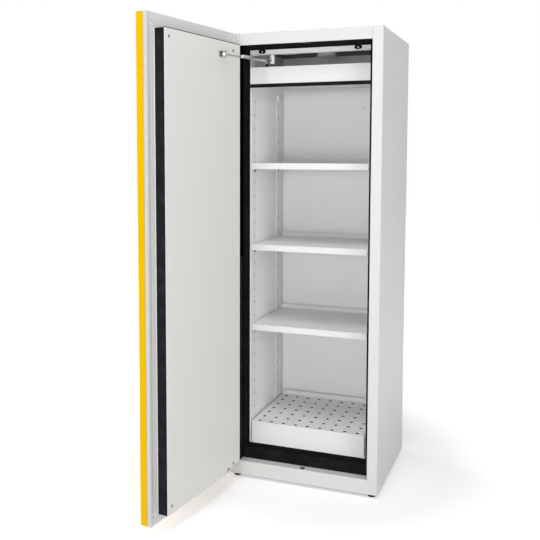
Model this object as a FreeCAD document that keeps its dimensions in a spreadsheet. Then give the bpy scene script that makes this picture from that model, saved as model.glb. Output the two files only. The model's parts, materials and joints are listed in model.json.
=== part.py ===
import FreeCAD, Part
import math
import os

import Sketcher

# Flammable safety cabinet: a fire-insulated steel cupboard on four feet, with one hinged,
# self-guided door, three tray shelves, a sump tray with a perforated cover and two roof
# spigots for ventilation. Millimetres, +Z up, +X to the right and +Y into the cabinet. The
# origin is on the floor under the middle of the carcass. The door stands open, as stored.

doc = FreeCAD.newDocument("SafetyCabinet")
sheet = doc.addObject("Spreadsheet::Sheet", "Sizes")
sheet_rows = []


class Size:
    """A length with its number and the sheet formula that drives it."""

    def __init__(self, value, formula):
        self.value = float(value)
        self.formula = formula

    def join(self, other, sign, value):
        """Combines two sizes in one formula."""
        return Size(value, "(%s %s %s)" % (self.formula, sign, as_size(other).formula))

    def __add__(self, other):
        return self.join(other, "+", self.value + as_size(other).value)

    def __radd__(self, other):
        return as_size(other) + self

    def __sub__(self, other):
        return self.join(other, "-", self.value - as_size(other).value)

    def __rsub__(self, other):
        return as_size(other) - self

    def __mul__(self, other):
        return self.join(other, "*", self.value * as_size(other).value)

    def __rmul__(self, other):
        return as_size(other) * self

    def __truediv__(self, other):
        return self.join(other, "/", self.value / as_size(other).value)

    def __neg__(self):
        return Size(0, "0") - self


def as_size(number):
    """Gives plain numbers the same form as sizes."""
    if isinstance(number, Size):
        return number
    return Size(number, "(%r)" % float(number))


def sine(angle):
    """Sine of a size in degrees."""
    return Size(math.sin(math.radians(angle.value)), "sin(%s)" % angle.formula)


def cosine(angle):
    """Cosine of a size in degrees."""
    return Size(math.cos(math.radians(angle.value)), "cos(%s)" % angle.formula)


def arctangent(rise, run):
    """Angle in degrees whose tangent is rise over run."""
    angle = math.degrees(math.atan2(rise.value, run.value))
    return Size(angle, "atan(%s / %s)" % (rise.formula, run.formula))


def hypotenuse(across, along):
    """Long side of a right-angled triangle."""
    square = across * across + along * along
    return Size(math.sqrt(square.value), "sqrt(%s)" % square.formula)


def whole_steps(span, step):
    """Counts the whole steps in a span."""
    count = math.floor(span.value / step.value)
    return Size(count, "floor(%s / %s)" % (span.formula, step.formula))


def size(name, value, meaning):
    """Writes one driving dimension into the sheet and returns it."""
    row = len(sheet_rows) + 1
    sheet.set("A%d" % row, meaning)
    sheet.set("B%d" % row, repr(value))
    sheet.setAlias("B%d" % row, name)
    sheet_rows.append(name)
    return Size(value, "Sizes." + name)


# Carcass
width = size("width", 660.0, "overall width of the carcass")
depth = size("depth", 600.0, "depth of the carcass without the door")
height = size("height", 1953.0, "floor to the top of the roof")
steel = size("steel", 1.5, "outer sheet steel")
foot_gap = size("foot_gap", 13.0, "floor to the underside of the plinth")
post_face = size("post_face", 43.0, "width of a front post")
header_face = size("header_face", 50.0, "height of the front header")
sill_height = size("sill_height", 75.0, "floor to the top of the sill")
recess = size("recess", 42.0, "front face to the first face of the seal frame")
rear_flange = size("rear_flange", 30.0, "rear flange of a side panel")
flange_lip = size("flange_lip", 18.0, "lip at the end of the sill and header returns")

# Seal frame and lining
seal_step = size("seal_step", 23.0, "first to second face of the seal frame")
seal_lip = size("seal_lip", 7.0, "thickness of the seal frame's inner lip")
seal_outer = size("seal_outer", 12.0, "width of the seal frame's first face")
seal_inner = size("seal_inner", 9.5, "width of the seal frame's second face")
seal_outer_low = size("seal_outer_low", 49.0, "height of the lower first face")
seal_inner_low = size("seal_inner_low", 14.0, "height of the lower second face")
seal_top_face = size("seal_top_face", 7.0, "height of each upper face")
board = size("board", 9.5, "thickness of the lining boards")
rear_wall = size("rear_wall", 55.5, "thickness of the rear insulation")

# Shelf system
strip_thick = size("strip_thick", 3.0, "thickness of an upright strip")
strip_front_start = size("strip_front_start", 74.0, "front face to the front strip")
strip_front_width = size("strip_front_width", 63.0, "width of a front strip")
strip_rear_gap = size("strip_rear_gap", 7.0, "rear strip to the rear lining")
strip_rear_width = size("strip_rear_width", 98.0, "width of a rear strip")
strip_head = size("strip_head", 22.0, "top of the strips to the fascia")
slot_front = size("slot_front", 122.0, "front face to the front column of slots")
slot_inset = size("slot_inset", 20.0, "front edge of a rear strip to its column of slots")
slot_width = size("slot_width", 5.0, "width of a slot")
slot_height = size("slot_height", 11.0, "height of a slot")
slot_spacing = size("slot_spacing", 60.0, "spacing of the slots")
slot_first = size("slot_first", 173.0, "floor to the lowest slot")
shelf_front = size("shelf_front", 75.0, "front face to the front of a shelf")
shelf_rear_gap = size("shelf_rear_gap", 32.0, "rear of a shelf to the rear lining")
shelf_gap = size("shelf_gap", 2.0, "play between a shelf and the strips")
shelf_lip = size("shelf_lip", 27.0, "height of a shelf's front lip")
shelf_dish = size("shelf_dish", 3.0, "depth of the dish in a shelf")
shelf_upstand = size("shelf_upstand", 16.0, "rear upstand above a shelf's rim")
tray_sheet = size("tray_sheet", 1.5, "sheet of shelves and sump tray")
clip_reach = size("clip_reach", 14.0, "ledge of a shelf clip")
clip_width = size("clip_width", 16.0, "width of a shelf clip")
clip_drop = size("clip_drop", 15.0, "height of a shelf clip")
clip_play = size("clip_play", 0.5, "side play of a clip's tongue in its slot")

# Sump tray and its cover
sump_gap = size("sump_gap", 5.5, "upright strip to the side of the sump tray")
sump_rear_gap = size("sump_rear_gap", 17.0, "rear of the sump tray to the rear lining")
sump_height = size("sump_height", 96.5, "height of the sump tray")
cover_sheet = size("cover_sheet", 1.5, "sheet of the perforated cover")
cover_skirt = size("cover_skirt", 12.0, "depth of the cover's skirt")
cover_upstand = size("cover_upstand", 22.0, "rear upstand of the cover")
cover_play = size("cover_play", 1.0, "play between skirt and tray")
hole_radius = size("hole_radius", 5.5, "radius of a hole in the cover")
hole_side = size("hole_side", 33.0, "side edge of the cover to the first column of holes")
hole_first = size("hole_first", 17.0, "front edge of the cover to the first row")
hole_last = size("hole_last", 36.0, "last row of holes to the rear edge of the cover")

# Upper compartment
fascia_drop = size("fascia_drop", 209.0, "top of the roof to the lower edge of the fascia")
fascia_height = size("fascia_height", 72.0, "height of the fascia")
fascia_shelf = size("fascia_shelf", 60.0, "depth of the flange on top of the fascia")
plenum_rise = size("plenum_rise", 9.0, "lower edge of the fascia to the plenum floor")
plenum_rear_gap = size("plenum_rear_gap", 27.0, "rear of the plenum to the rear lining")
trim_height = size("trim_height", 15.0, "height of the dark trim under the fascia")
trim_depth = size("trim_depth", 10.0, "depth of the dark trim")
trim_gap = size("trim_gap", 1.0, "lining's front edge to the dark trim")
rail_height = size("rail_height", 33.0, "height of the guide rail")
rail_front_gap = size("rail_front_gap", 15.0, "rail centre to the outside of its front wall")
rail_rear_gap = size("rail_rear_gap", 13.5, "rail centre to the outside of its rear wall")
rail_depth = size("rail_depth", 90.0, "front face to the centre of the guide rail")
cap_inset = size("cap_inset", 54.0, "end of the rail to the middle of an oval cap")
cap_length = size("cap_length", 24.0, "length of an oval cap")
cap_height = size("cap_height", 12.0, "height of an oval cap")
cap_thick = size("cap_thick", 2.0, "thickness of an oval cap")

# Ventilation
duct_radius = size("duct_radius", 37.5, "outside radius of a roof spigot")
duct_wall = size("duct_wall", 1.5, "wall of a roof spigot")
duct_rise = size("duct_rise", 35.0, "height of a spigot above the roof")
duct_drop = size("duct_drop", 4.0, "spigot below the ceiling")
duct_flange = size("duct_flange", 50.0, "radius of a spigot's flange")
duct_play = size("duct_play", 0.5, "hole around a spigot")
exhaust_x = size("exhaust_x", 30.0, "exhaust spigot from the middle")
exhaust_y = size("exhaust_y", 250.0, "exhaust spigot from the front face")
supply_x = size("supply_x", -150.0, "supply spigot from the middle")
supply_y = size("supply_y", 250.0, "supply spigot from the front face")
flap_radius = size("flap_radius", 33.0, "radius of a damper flap")
flap_thick = size("flap_thick", 2.5, "thickness of a damper flap")
flap_spindle = size("flap_spindle", 2.5, "radius of a damper spindle")
flap_drop = size("flap_drop", 18.0, "top of the roof to the damper spindles")

# Feet
foot_radius = size("foot_radius", 16.0, "radius of a foot")
foot_pad = size("foot_pad", 8.0, "height of a foot's pad")
foot_stud = size("foot_stud", 5.0, "radius of a foot's threaded stud")
foot_stud_top = size("foot_stud_top", 34.0, "floor to the top of the stud")
foot_inset_x = size("foot_inset_x", 26.0, "side face to a foot")
foot_inset_y = size("foot_inset_y", 23.0, "front or rear face to a foot")
foot_play = size("foot_play", 0.3, "play around a foot's stud")

# Door leaf, in its own axes: u from the hinge pin towards the free edge, n inwards
leaf_side_gap = size("leaf_side_gap", 3.0, "side face of the carcass to the leaf's edge")
leaf_front_gap = size("leaf_front_gap", 3.0, "front face of the carcass to the leaf")
leaf_skin = size("leaf_skin", 31.0, "depth of the outer skin")
leaf_pan = size("leaf_pan", 14.0, "depth of the inner pan")
leaf_bottom = size("leaf_bottom", 48.0, "floor to the lower edge of the leaf")
leaf_top_gap = size("leaf_top_gap", 3.0, "upper edge of the leaf below the roof")
pin_inset = size("pin_inset", 10.0, "leaf's hinge edge to the pin")
pin_depth = size("pin_depth", 19.0, "leaf's inner plane to the pin")
block_thick = size("block_thick", 44.0, "thickness of the inner block")
block_hinge = size("block_hinge", 48.0, "leaf's hinge edge to the block")
block_free = size("block_free", 50.0, "leaf's free edge to the block")
block_bottom_gap = size("block_bottom_gap", 6.0, "sill to the block")
block_top_gap = size("block_top_gap", 8.0, "header to the block")
block_notch_width = size("block_notch_width", 117.0, "width of the lower notch")
block_notch_height = size("block_notch_height", 18.0, "height of the lower notch")
block_edge = size("block_edge", 6.0, "thickness of the block's edge frame")
panel_sheet = size("panel_sheet", 1.5, "sheet of the inner panel")
open_angle = size("open_angle", 97.5, "door angle as stored, in degrees")

# Hinges
hinge_rise = size("hinge_rise", 132.0, "lower edge of the leaf to the lower hinge pocket")
hinge_drop = size("hinge_drop", 212.0, "upper edge of the leaf to the foot of the upper pocket")
hinge_pocket = size("hinge_pocket", 80.0, "height of a hinge pocket")
hinge_reach = size("hinge_reach", 9.0, "pin to the wall of a hinge pocket")
hinge_play = size("hinge_play", 2.0, "play between hinge parts and pocket ends")
pocket_overrun = size("pocket_overrun", 1.0, "overrun of a pocket past the faces of the leaf")
hinge_plate = size("hinge_plate", 2.5, "thickness of the plate on the post")
hinge_plate_edge = size("hinge_plate_edge", 2.0, "post edges to the hinge plate")
knuckle_radius = size("knuckle_radius", 7.0, "radius of a knuckle")
knuckle_arm = size("knuckle_arm", 12.0, "width of the knuckle's arm")
knuckle_low = size("knuckle_low", 12.0, "height of a door knuckle")
knuckle_play = size("knuckle_play", 1.0, "play between knuckles")
pin_radius = size("pin_radius", 4.0, "radius of a hinge pin")
pin_play = size("pin_play", 0.1, "play around a hinge pin")
hinge_leaf = size("hinge_leaf", 1.5, "thickness of the door side hinge leaf")

# Door guide arm
arm_anchor_u = size("arm_anchor_u", 190.0, "hinge pin to the arm's pivot along the door")
arm_spread = size("arm_spread", 97.5, "along the rail between the arm's pivots, door open")
arm_drop = size("arm_drop", 111.0, "top of the roof to the middle of the arm")
arm_rod = size("arm_rod", 4.0, "radius of the arm's rod")
arm_tube = size("arm_tube", 7.0, "radius of the arm's tube")
arm_rod_length = size("arm_rod_length", 120.0, "arm pivot to the start of the tube")
eye_radius = size("eye_radius", 8.5, "radius of the arm's eyes")
eye_clear = size("eye_clear", 0.5, "bracket's plate to the arm's eye")
eye_height = size("eye_height", 15.0, "height of the arm's eyes")
link_pin = size("link_pin", 4.0, "radius of the arm's pivot pins")
link_play = size("link_play", 0.1, "play around the pivot pins")
link_gap = size("link_gap", 1.0, "play above and below the eyes")
lug_thick = size("lug_thick", 4.0, "thickness of the bracket's lug")
lug_width = size("lug_width", 22.0, "width of the bracket's lug")
anchor_width = size("anchor_width", 44.0, "width of the bracket's plate")
anchor_plate = size("anchor_plate", 2.0, "thickness of the bracket's plate")
slider_radius = size("slider_radius", 11.0, "radius of the round slider")
slider_cap = size("slider_cap", 5.0, "slider's cap under the arm's eye")
slider_gap = size("slider_gap", 3.0, "rail to the slider block")
slider_stud = size("slider_stud", 5.0, "radius of the slider's stud in the rail")
slider_stud_rise = size("slider_stud_rise", 14.0, "stud inside the rail")
stop_radius = size("stop_radius", 6.0, "radius of the door stop")
stop_height = size("stop_height", 18.0, "height of the door stop")
stop_inset = size("stop_inset", 59.5, "side lining to the door stop")
stop_y = size("stop_y", 120.0, "door stop from the front face")

# Lock and handle
bolt_radius = size("bolt_radius", 5.0, "radius of a bolt")
bolt_play = size("bolt_play", 0.6, "play around a bolt")
bolt_line = size("bolt_line", 19.0, "front face to the bolts with the door shut")
bolt_retract = size("bolt_retract", 1.0, "bolt tip inside the block's edge")
bolt_middle = size("bolt_middle", 86.0, "middle of the block to the inner end of a bolt")
bolt_room = size("bolt_room", 30.0, "free bore behind a bolt")
bush_radius = size("bush_radius", 8.0, "radius of the sill bush")
bush_flange = size("bush_flange", 10.5, "radius of the sill bush's flange")
bush_bore = size("bush_bore", 6.3, "bore of the sill bush")
bush_depth = size("bush_depth", 7.0, "sill bush below the sill")
bush_head = size("bush_head", 1.2, "sill bush's flange above the sill")
bush_play = size("bush_play", 0.2, "play around the sill bush")
handle_level = size("handle_level", 1010.0, "floor to the lever")
handle_inset = size("handle_inset", 52.0, "leaf's free edge to the lever")
handle_width = size("handle_width", 40.0, "width of the handle's plate")
handle_height = size("handle_height", 170.0, "height of the handle's plate")
handle_plate = size("handle_plate", 9.0, "thickness of the handle's plate")
lever_neck = size("lever_neck", 8.0, "radius of the lever's neck")
lever_stand = size("lever_stand", 34.0, "plate to the middle of the grip")
lever_grip = size("lever_grip", 9.0, "half thickness of the grip")
lever_length = size("lever_length", 125.0, "length of the lever")
lever_heel = size("lever_heel", 12.5, "lever's axis to the blunt end of the grip")
lever_round = size("lever_round", 4.0, "rounding of the grip's long edges")
lever_play = size("lever_play", 0.3, "play under the lever and the cylinder")
cylinder_radius = size("cylinder_radius", 8.5, "radius of the lock cylinder")
cylinder_drop = size("cylinder_drop", 62.0, "lever to the lock cylinder")
cylinder_proud = size("cylinder_proud", 4.0, "lock cylinder in front of the plate")
key_slot = size("key_slot", 9.0, "length of the key slot")
key_width = size("key_width", 2.2, "width of the key slot")
screw_radius = size("screw_radius", 4.0, "radius of a panel screw's head")
screw_head = size("screw_head", 0.7, "height of a panel screw's head")
screw_inset = size("screw_inset", 29.0, "block edge to a panel screw")
screw_hinge = size("screw_hinge", 55.0, "block's hinge edge to a panel screw")

doc.recompute()

SHELF_SLOTS = {"lower": 8, "middle": 14, "upper": 20}
HOLE_COLUMNS = 9
HOLE_ROWS = 7
DEGREE_ROUND = 360.0

# Places worked out from the driving dimensions
front = -depth / 2
rear = depth / 2
half = width / 2
post_inner = half - post_face
header_bottom = height - header_face
lining_front = recess + seal_step + seal_lip
lining_half = post_inner - seal_outer - seal_inner
shell_half = half - steel
floor_top = sill_height + seal_outer_low + seal_inner_low
plinth_top = foot_gap + steel
shell_rear = depth - 2 * steel
lining_rear = shell_rear - rear_wall
room_rear = lining_rear - board
strip_half = lining_half - strip_thick
strip_rear_start = room_rear - strip_rear_gap - strip_rear_width
shelf_half = strip_half - shelf_gap
shelf_rear = room_rear - shelf_rear_gap
slot_rear = strip_rear_start + slot_inset
sump_half = strip_half - sump_gap
sump_rear = room_rear - sump_rear_gap
plenum_rear = room_rear - plenum_rear_gap
fascia_bottom = height - fascia_drop
strip_top = fascia_bottom - strip_head
slot_count = whole_steps(strip_top - slot_first, slot_spacing) + 1
hole_pitch_x = (sump_half - hole_side) / ((HOLE_COLUMNS - 1) / 2)
hole_pitch_y = (sump_rear - shelf_front - hole_first - hole_last) / (HOLE_ROWS - 1)
arm_level = height - arm_drop
flap_level = height - flap_drop
leaf_top = height - leaf_top_gap
leaf_depth = leaf_skin + leaf_pan
leaf_width = width - leaf_side_gap * 2
pin_x = -half + leaf_side_gap + pin_inset
pin_y = -leaf_front_gap - pin_depth
leaf_start = -pin_inset
leaf_end = leaf_width - pin_inset
leaf_outer = pin_depth - leaf_depth
leaf_joint = pin_depth - leaf_pan
block_start = block_hinge - pin_inset
block_end = leaf_width - pin_inset - block_free
block_bottom = sill_height + block_bottom_gap
block_top = header_bottom - block_top_gap
block_face = pin_depth + block_thick
hinge_low = leaf_bottom + hinge_rise
hinge_high = leaf_top - hinge_drop
bolt_length = (block_top - block_bottom) / 2 - bolt_retract - bolt_middle
arm_anchor_depth = block_face + anchor_plate + eye_radius + eye_clear
arm_anchor_x = pin_x + arm_anchor_u * cosine(open_angle) + arm_anchor_depth * sine(open_angle)
arm_anchor_y = pin_y - arm_anchor_u * sine(open_angle) + arm_anchor_depth * cosine(open_angle)
arm_reach = rail_depth - arm_anchor_y
arm_length = hypotenuse(arm_reach, arm_spread)
arm_angle = arctangent(arm_reach, arm_spread)
bolt_u = -pin_x
bolt_n = bolt_line - pin_y


class Circle:
    """A round outline in a sketch."""

    def __init__(self, across, along, radius):
        self.across = as_size(across)
        self.along = as_size(along)
        self.radius = as_size(radius)


def rectangle(a0, b0, a1, b1):
    """Corners of a rectangle from one corner to the opposite one."""
    return [(a0, b0), (a1, b0), (a1, b1), (a0, b1)]


def folded(path, sheet_size, side):
    """Closed outline of sheet metal folded square along a path; side is +1 for the left."""
    values = [(as_size(a).value, as_size(b).value) for a, b in path]
    normals = []
    for (a0, b0), (a1, b1) in zip(values, values[1:]):
        run = math.hypot(a1 - a0, b1 - b0)
        normals.append((-side * (b1 - b0) / run, side * (a1 - a0) / run))
    offset = []
    for index, (a, b) in enumerate(path):
        near = normals[max(index - 1, 0):index + 1] if index else normals[:1]
        if 0 < index < len(path) - 1:
            shift = (near[0][0] + near[1][0], near[0][1] + near[1][1])
        else:
            shift = near[-1]
        offset.append((a + sheet_size * round(shift[0]), b + sheet_size * round(shift[1])))
    return list(path) + offset[::-1]


class Piece:
    """One sub-part: a PartDesign body whose sketches lie on its own origin planes."""

    PLANES = {"XY": "XY_Plane", "XZ": "XZ_Plane", "YZ": "YZ_Plane"}

    def __init__(self, name):
        self.name = name
        self.body = doc.addObject("PartDesign::Body", name)
        self.body.Label = name
        self.body.AllowCompound = True
        self.count = 0

    def origin_item(self, role):
        """Finds a plane or axis of the body's own origin."""
        return [item for item in self.body.Origin.OriginFeatures if item.Role == role][0]

    def sketch(self, plane, outlines, start):
        """Draws closed outlines, every corner and circle held by dimensions from the origin."""
        self.count += 1
        name = "%s_sketch_%d" % (self.name, self.count)
        drawing = self.body.newObject("Sketcher::SketchObject", name)
        drawing.AttachmentSupport = [(self.origin_item(self.PLANES[plane]), "")]
        drawing.MapMode = "FlatFace"
        start = as_size(start)
        if plane == "XZ":
            start = -start
        drawing.AttachmentOffset = FreeCAD.Placement(
            FreeCAD.Vector(0, 0, start.value), FreeCAD.Rotation())
        drawing.setExpression("AttachmentOffset.Base.z", start.formula)
        driven = []
        for outline in outlines:
            if isinstance(outline, Circle):
                self.draw_circle(drawing, outline, driven)
            else:
                self.draw_polygon(drawing, outline, driven)
        for index, formula in driven:
            drawing.setExpression("Constraints[%d]" % index, formula)
        return drawing

    def draw_circle(self, drawing, circle, driven):
        """Adds one circle with its centre and radius."""
        centre = FreeCAD.Vector(circle.across.value, circle.along.value, 0)
        edge = drawing.addGeometry(
            Part.Circle(centre, FreeCAD.Vector(0, 0, 1), circle.radius.value), False)
        places = [
            ("DistanceX", circle.across), ("DistanceY", circle.along)]
        for kind, place in places:
            mark = drawing.addConstraint(
                Sketcher.Constraint(kind, -1, 1, edge, 3, place.value))
            driven.append((mark, place.formula))
        mark = drawing.addConstraint(
            Sketcher.Constraint("Radius", edge, circle.radius.value))
        driven.append((mark, circle.radius.formula))

    def draw_polygon(self, drawing, corners, driven):
        """Adds one closed run of straight edges."""
        corners = [(as_size(a), as_size(b)) for a, b in corners]
        points = [FreeCAD.Vector(a.value, b.value, 0) for a, b in corners]
        edges = []
        for here, there in zip(points, points[1:] + points[:1]):
            edges.append(drawing.addGeometry(Part.LineSegment(here, there), False))
        for here, there in zip(edges, edges[1:] + edges[:1]):
            drawing.addConstraint(Sketcher.Constraint("Coincident", here, 2, there, 1))
        for edge, (across, along) in zip(edges, corners):
            for kind, place in (("DistanceX", across), ("DistanceY", along)):
                mark = drawing.addConstraint(
                    Sketcher.Constraint(kind, -1, 1, edge, 1, place.value))
                driven.append((mark, place.formula))

    def extrude(self, kind, plane, outlines, start, end):
        """Pads or pockets outlines between two planes, from start towards end."""
        if isinstance(outlines, Circle) or isinstance(outlines[0], tuple):
            outlines = [outlines]
        drawing = self.sketch(plane, outlines, start)
        feature = self.body.newObject("PartDesign::" + kind, "%s_%s_%d" % (
            self.name, kind.lower(), self.count))
        feature.Profile = drawing
        run = as_size(end) - as_size(start)
        feature.Length = abs(run.value)
        feature.setExpression("Length", run.formula)
        feature.Reversed = (plane == "XZ") == (kind == "Pad")
        drawing.Visibility = False
        self.body.Tip = feature
        return feature

    def pad(self, plane, outlines, start, end):
        """Adds material."""
        return self.extrude("Pad", plane, outlines, start, end)

    def cut(self, plane, outlines, start, end):
        """Takes material away, and makes sure that it did."""
        doc.recompute()
        before = self.body.Shape.Volume
        feature = self.extrude("Pocket", plane, outlines, start, end)
        doc.recompute()
        if not self.body.Shape.Volume < before:
            raise RuntimeError("%s: a pocket cut nothing" % self.name)
        return feature

    def revolve(self, profile, across, along):
        """Turns an outline of (radius, height) corners about an upright axis."""
        self.count += 1
        drawing = self.body.newObject(
            "Sketcher::SketchObject", "%s_sketch_%d" % (self.name, self.count))
        drawing.AttachmentSupport = [(self.origin_item("XZ_Plane"), "")]
        drawing.MapMode = "FlatFace"
        driven = []
        self.draw_polygon(drawing, profile, driven)
        for index, formula in driven:
            drawing.setExpression("Constraints[%d]" % index, formula)
        feature = self.body.newObject("PartDesign::Revolution", self.name + "_turned")
        feature.Profile = drawing
        feature.ReferenceAxis = (drawing, ["V_Axis"])
        feature.Angle = DEGREE_ROUND
        self.body.Tip = feature
        self.place(across, along, 0)
        return feature

    def repeat(self, feature, axis, pitch, count):
        """Repeats a feature in a row along one of the body's axes."""
        doc.recompute()
        pattern = self.body.newObject(
            "PartDesign::LinearPattern", "%s_row_%d" % (self.name, self.count))
        pattern.Originals = [feature]
        pattern.Direction = (self.origin_item(axis), [""])
        count = as_size(count)
        pattern.Occurrences = int(count.value)
        pattern.setExpression("Occurrences", count.formula)
        pattern.setExpression("Length", (as_size(pitch) * (count - 1)).formula)
        self.body.Tip = pattern
        return pattern

    def round_edges(self, chooser, radius):
        """Fillets the edges that a test on their middle and direction picks."""
        doc.recompute()
        names = []
        base = self.body.Tip
        for number, edge in enumerate(base.Shape.Edges, 1):
            if len(edge.Vertexes) == 2:
                first, last = [corner.Point for corner in edge.Vertexes]
                if chooser((first + last) / 2, (last - first).normalize()):
                    names.append("Edge%d" % number)
        feature = self.body.newObject("PartDesign::Fillet", self.name + "_fillet_%d" % self.count)
        feature.Base = (base, names)
        radius = as_size(radius)
        feature.Radius = radius.value
        feature.setExpression("Radius", radius.formula)
        self.body.Tip = feature
        return feature

    def place(self, x, y, z):
        """Moves the body by sheet formulas."""
        base = [as_size(value) for value in (x, y, z)]
        self.body.Placement = FreeCAD.Placement(
            FreeCAD.Vector(*[value.value for value in base]), FreeCAD.Rotation())
        for letter, value in zip("xyz", base):
            self.body.setExpression("Placement.Base." + letter, value.formula)

    def turn(self, angle):
        """Turns the body about the upright axis through its origin, in degrees."""
        self.body.Placement.Rotation = FreeCAD.Rotation(FreeCAD.Vector(0, 0, 1), angle.value)
        self.body.setExpression("Placement.Rotation.Angle", angle.formula)

    def stand(self):
        """Places a carcass piece, drawn with its Y from the front face."""
        self.place(0, front, 0)

    def hang(self):
        """Places a door piece, drawn about the hinge pin, at the stored door angle."""
        self.place(pin_x, front + pin_y, 0)
        self.turn(-open_angle)


def box_board(name, x0, x1, y0, y1, z0, z1):
    """A plain board or insulation slab with Y from the front face."""
    solid = doc.addObject("Part::Box", name)
    solid.Label = name
    for item, start, end in (("Length", x0, x1), ("Width", y0, y1), ("Height", z0, z1)):
        solid.setExpression(item, (as_size(end) - as_size(start)).formula)
    for letter, start in (("x", x0), ("y", front + y0), ("z", z0)):
        solid.setExpression("Placement.Base." + letter, as_size(start).formula)
    return solid


def mirrored_x(corners, sign):
    """Carries an outline to the left or the right side of the cabinet."""
    return [(as_size(a) * sign, b) for a, b in corners]


def side_panel(name, sign):
    """Folded side panel: return, front post, side, rear flange, and a mitred foot."""
    piece = Piece(name)
    path = [(post_inner, lining_front), (post_inner, as_size(0)), (half, as_size(0)),
            (half, depth), (half - rear_flange, depth)]
    section = mirrored_x(folded(path, steel, 1), sign)
    piece.pad("XY", section, foot_gap, height)
    mitre = [(post_inner, foot_gap), (half, foot_gap), (post_inner, sill_height)]
    piece.cut("XZ", mirrored_x(mitre, sign), 0, steel)
    foot_of_return = rectangle(post_inner, foot_gap, post_inner + steel, sill_height)
    piece.cut("XZ", mirrored_x(foot_of_return, sign), steel, lining_front)
    head_of_return = rectangle(post_inner, height - steel, post_inner + steel, height)
    piece.cut("XZ", mirrored_x(head_of_return, sign), steel, lining_front)
    piece.stand()


def plinth():
    """Base plate, front face with mitred ends, sill, and the sill's rear lip."""
    piece = Piece("plinth")
    piece.pad("XY", rectangle(-shell_half, steel, shell_half, shell_rear), foot_gap, plinth_top)
    face = [(-half, foot_gap), (half, foot_gap), (post_inner, sill_height),
            (-post_inner, sill_height)]
    piece.pad("XZ", face, 0, steel)
    sill = rectangle(-post_inner, steel, post_inner, lining_front)
    piece.pad("XY", sill, sill_height - steel, sill_height)
    lip = rectangle(-post_inner, sill_height - steel - flange_lip, post_inner,
                    sill_height - steel)
    piece.pad("XZ", lip, lining_front - steel, lining_front)
    hole = Circle(0, bolt_line, bush_radius + bush_play)
    piece.cut("XY", hole, sill_height - steel, sill_height)
    studs = [Circle(sign * (half - foot_inset_x), along, foot_stud + foot_play)
             for sign in (-1, 1) for along in (foot_inset_y, depth - foot_inset_y)]
    piece.cut("XY", studs, foot_gap, plinth_top)
    piece.stand()


def roof():
    """Roof plate, header face, header return with its lip, and holes for spigots and bolt."""
    piece = Piece("roof_header")
    piece.pad("XY", rectangle(-shell_half, steel, shell_half, shell_rear), height - steel, height)
    piece.pad("XZ", rectangle(-post_inner, header_bottom, post_inner, height), 0, steel)
    piece.pad("XY", rectangle(-post_inner, steel, post_inner, lining_front),
              header_bottom, header_bottom + steel)
    lip = rectangle(-post_inner, header_bottom + steel, post_inner,
                    header_bottom + steel + flange_lip)
    piece.pad("XZ", lip, lining_front - steel, lining_front)
    piece.cut("XY", duct_holes(), height - steel, height)
    piece.cut("XY", Circle(0, bolt_line, bush_radius), header_bottom, header_bottom + steel)
    piece.stand()


def back_panel():
    """Flat rear sheet inside the flanges of the side panels."""
    box_board("back_panel", -shell_half, shell_half, shell_rear, shell_rear + steel,
              foot_gap, height)


def insulation():
    """Mineral boards between the steel shell and the lining."""
    left = -lining_half - board
    right = lining_half + board
    low = floor_top - board
    high = header_bottom + board
    box_board("insulation_left", -shell_half, left, lining_front, shell_rear, low, high)
    box_board("insulation_right", right, shell_half, lining_front, shell_rear, low, high)
    box_board("insulation_rear", left, right, lining_rear, shell_rear, low, high)
    top = Piece("insulation_top")
    top.pad("XY", rectangle(-shell_half, lining_front, shell_half, shell_rear),
            high, height - steel)
    top.cut("XY", duct_holes(), high, height - steel)
    top.stand()
    base = Piece("insulation_bottom")
    base.pad("XY", rectangle(-shell_half, lining_front, shell_half, shell_rear),
             plinth_top, low)
    studs = [Circle(sign * (half - foot_inset_x), depth - foot_inset_y, foot_stud + foot_play)
             for sign in (-1, 1)]
    base.cut("XY", studs, plinth_top, foot_stud_top + foot_play)
    base.stand()


def duct_holes():
    """Round holes for both spigots."""
    return [Circle(x, y, duct_radius + duct_play)
            for x, y in ((exhaust_x, exhaust_y), (supply_x, supply_y))]


def lining():
    """Board lining of the interior, flush with the lip of the seal frame."""
    outer = lining_half + board
    box_board("lining_left", -outer, -lining_half, lining_front, lining_rear - board,
              floor_top, header_bottom)
    box_board("lining_right", lining_half, outer, lining_front, lining_rear - board,
              floor_top, header_bottom)
    box_board("lining_rear", -outer, outer, lining_rear - board, lining_rear,
              floor_top, header_bottom)
    box_board("lining_floor", -outer, outer, lining_front, lining_rear,
              floor_top - board, floor_top)
    ceiling = Piece("lining_ceiling")
    ceiling.pad("XY", rectangle(-outer, lining_front, outer, lining_rear),
                header_bottom, header_bottom + board)
    ceiling.cut("XY", duct_holes(), header_bottom, header_bottom + board)
    ceiling.stand()


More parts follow.
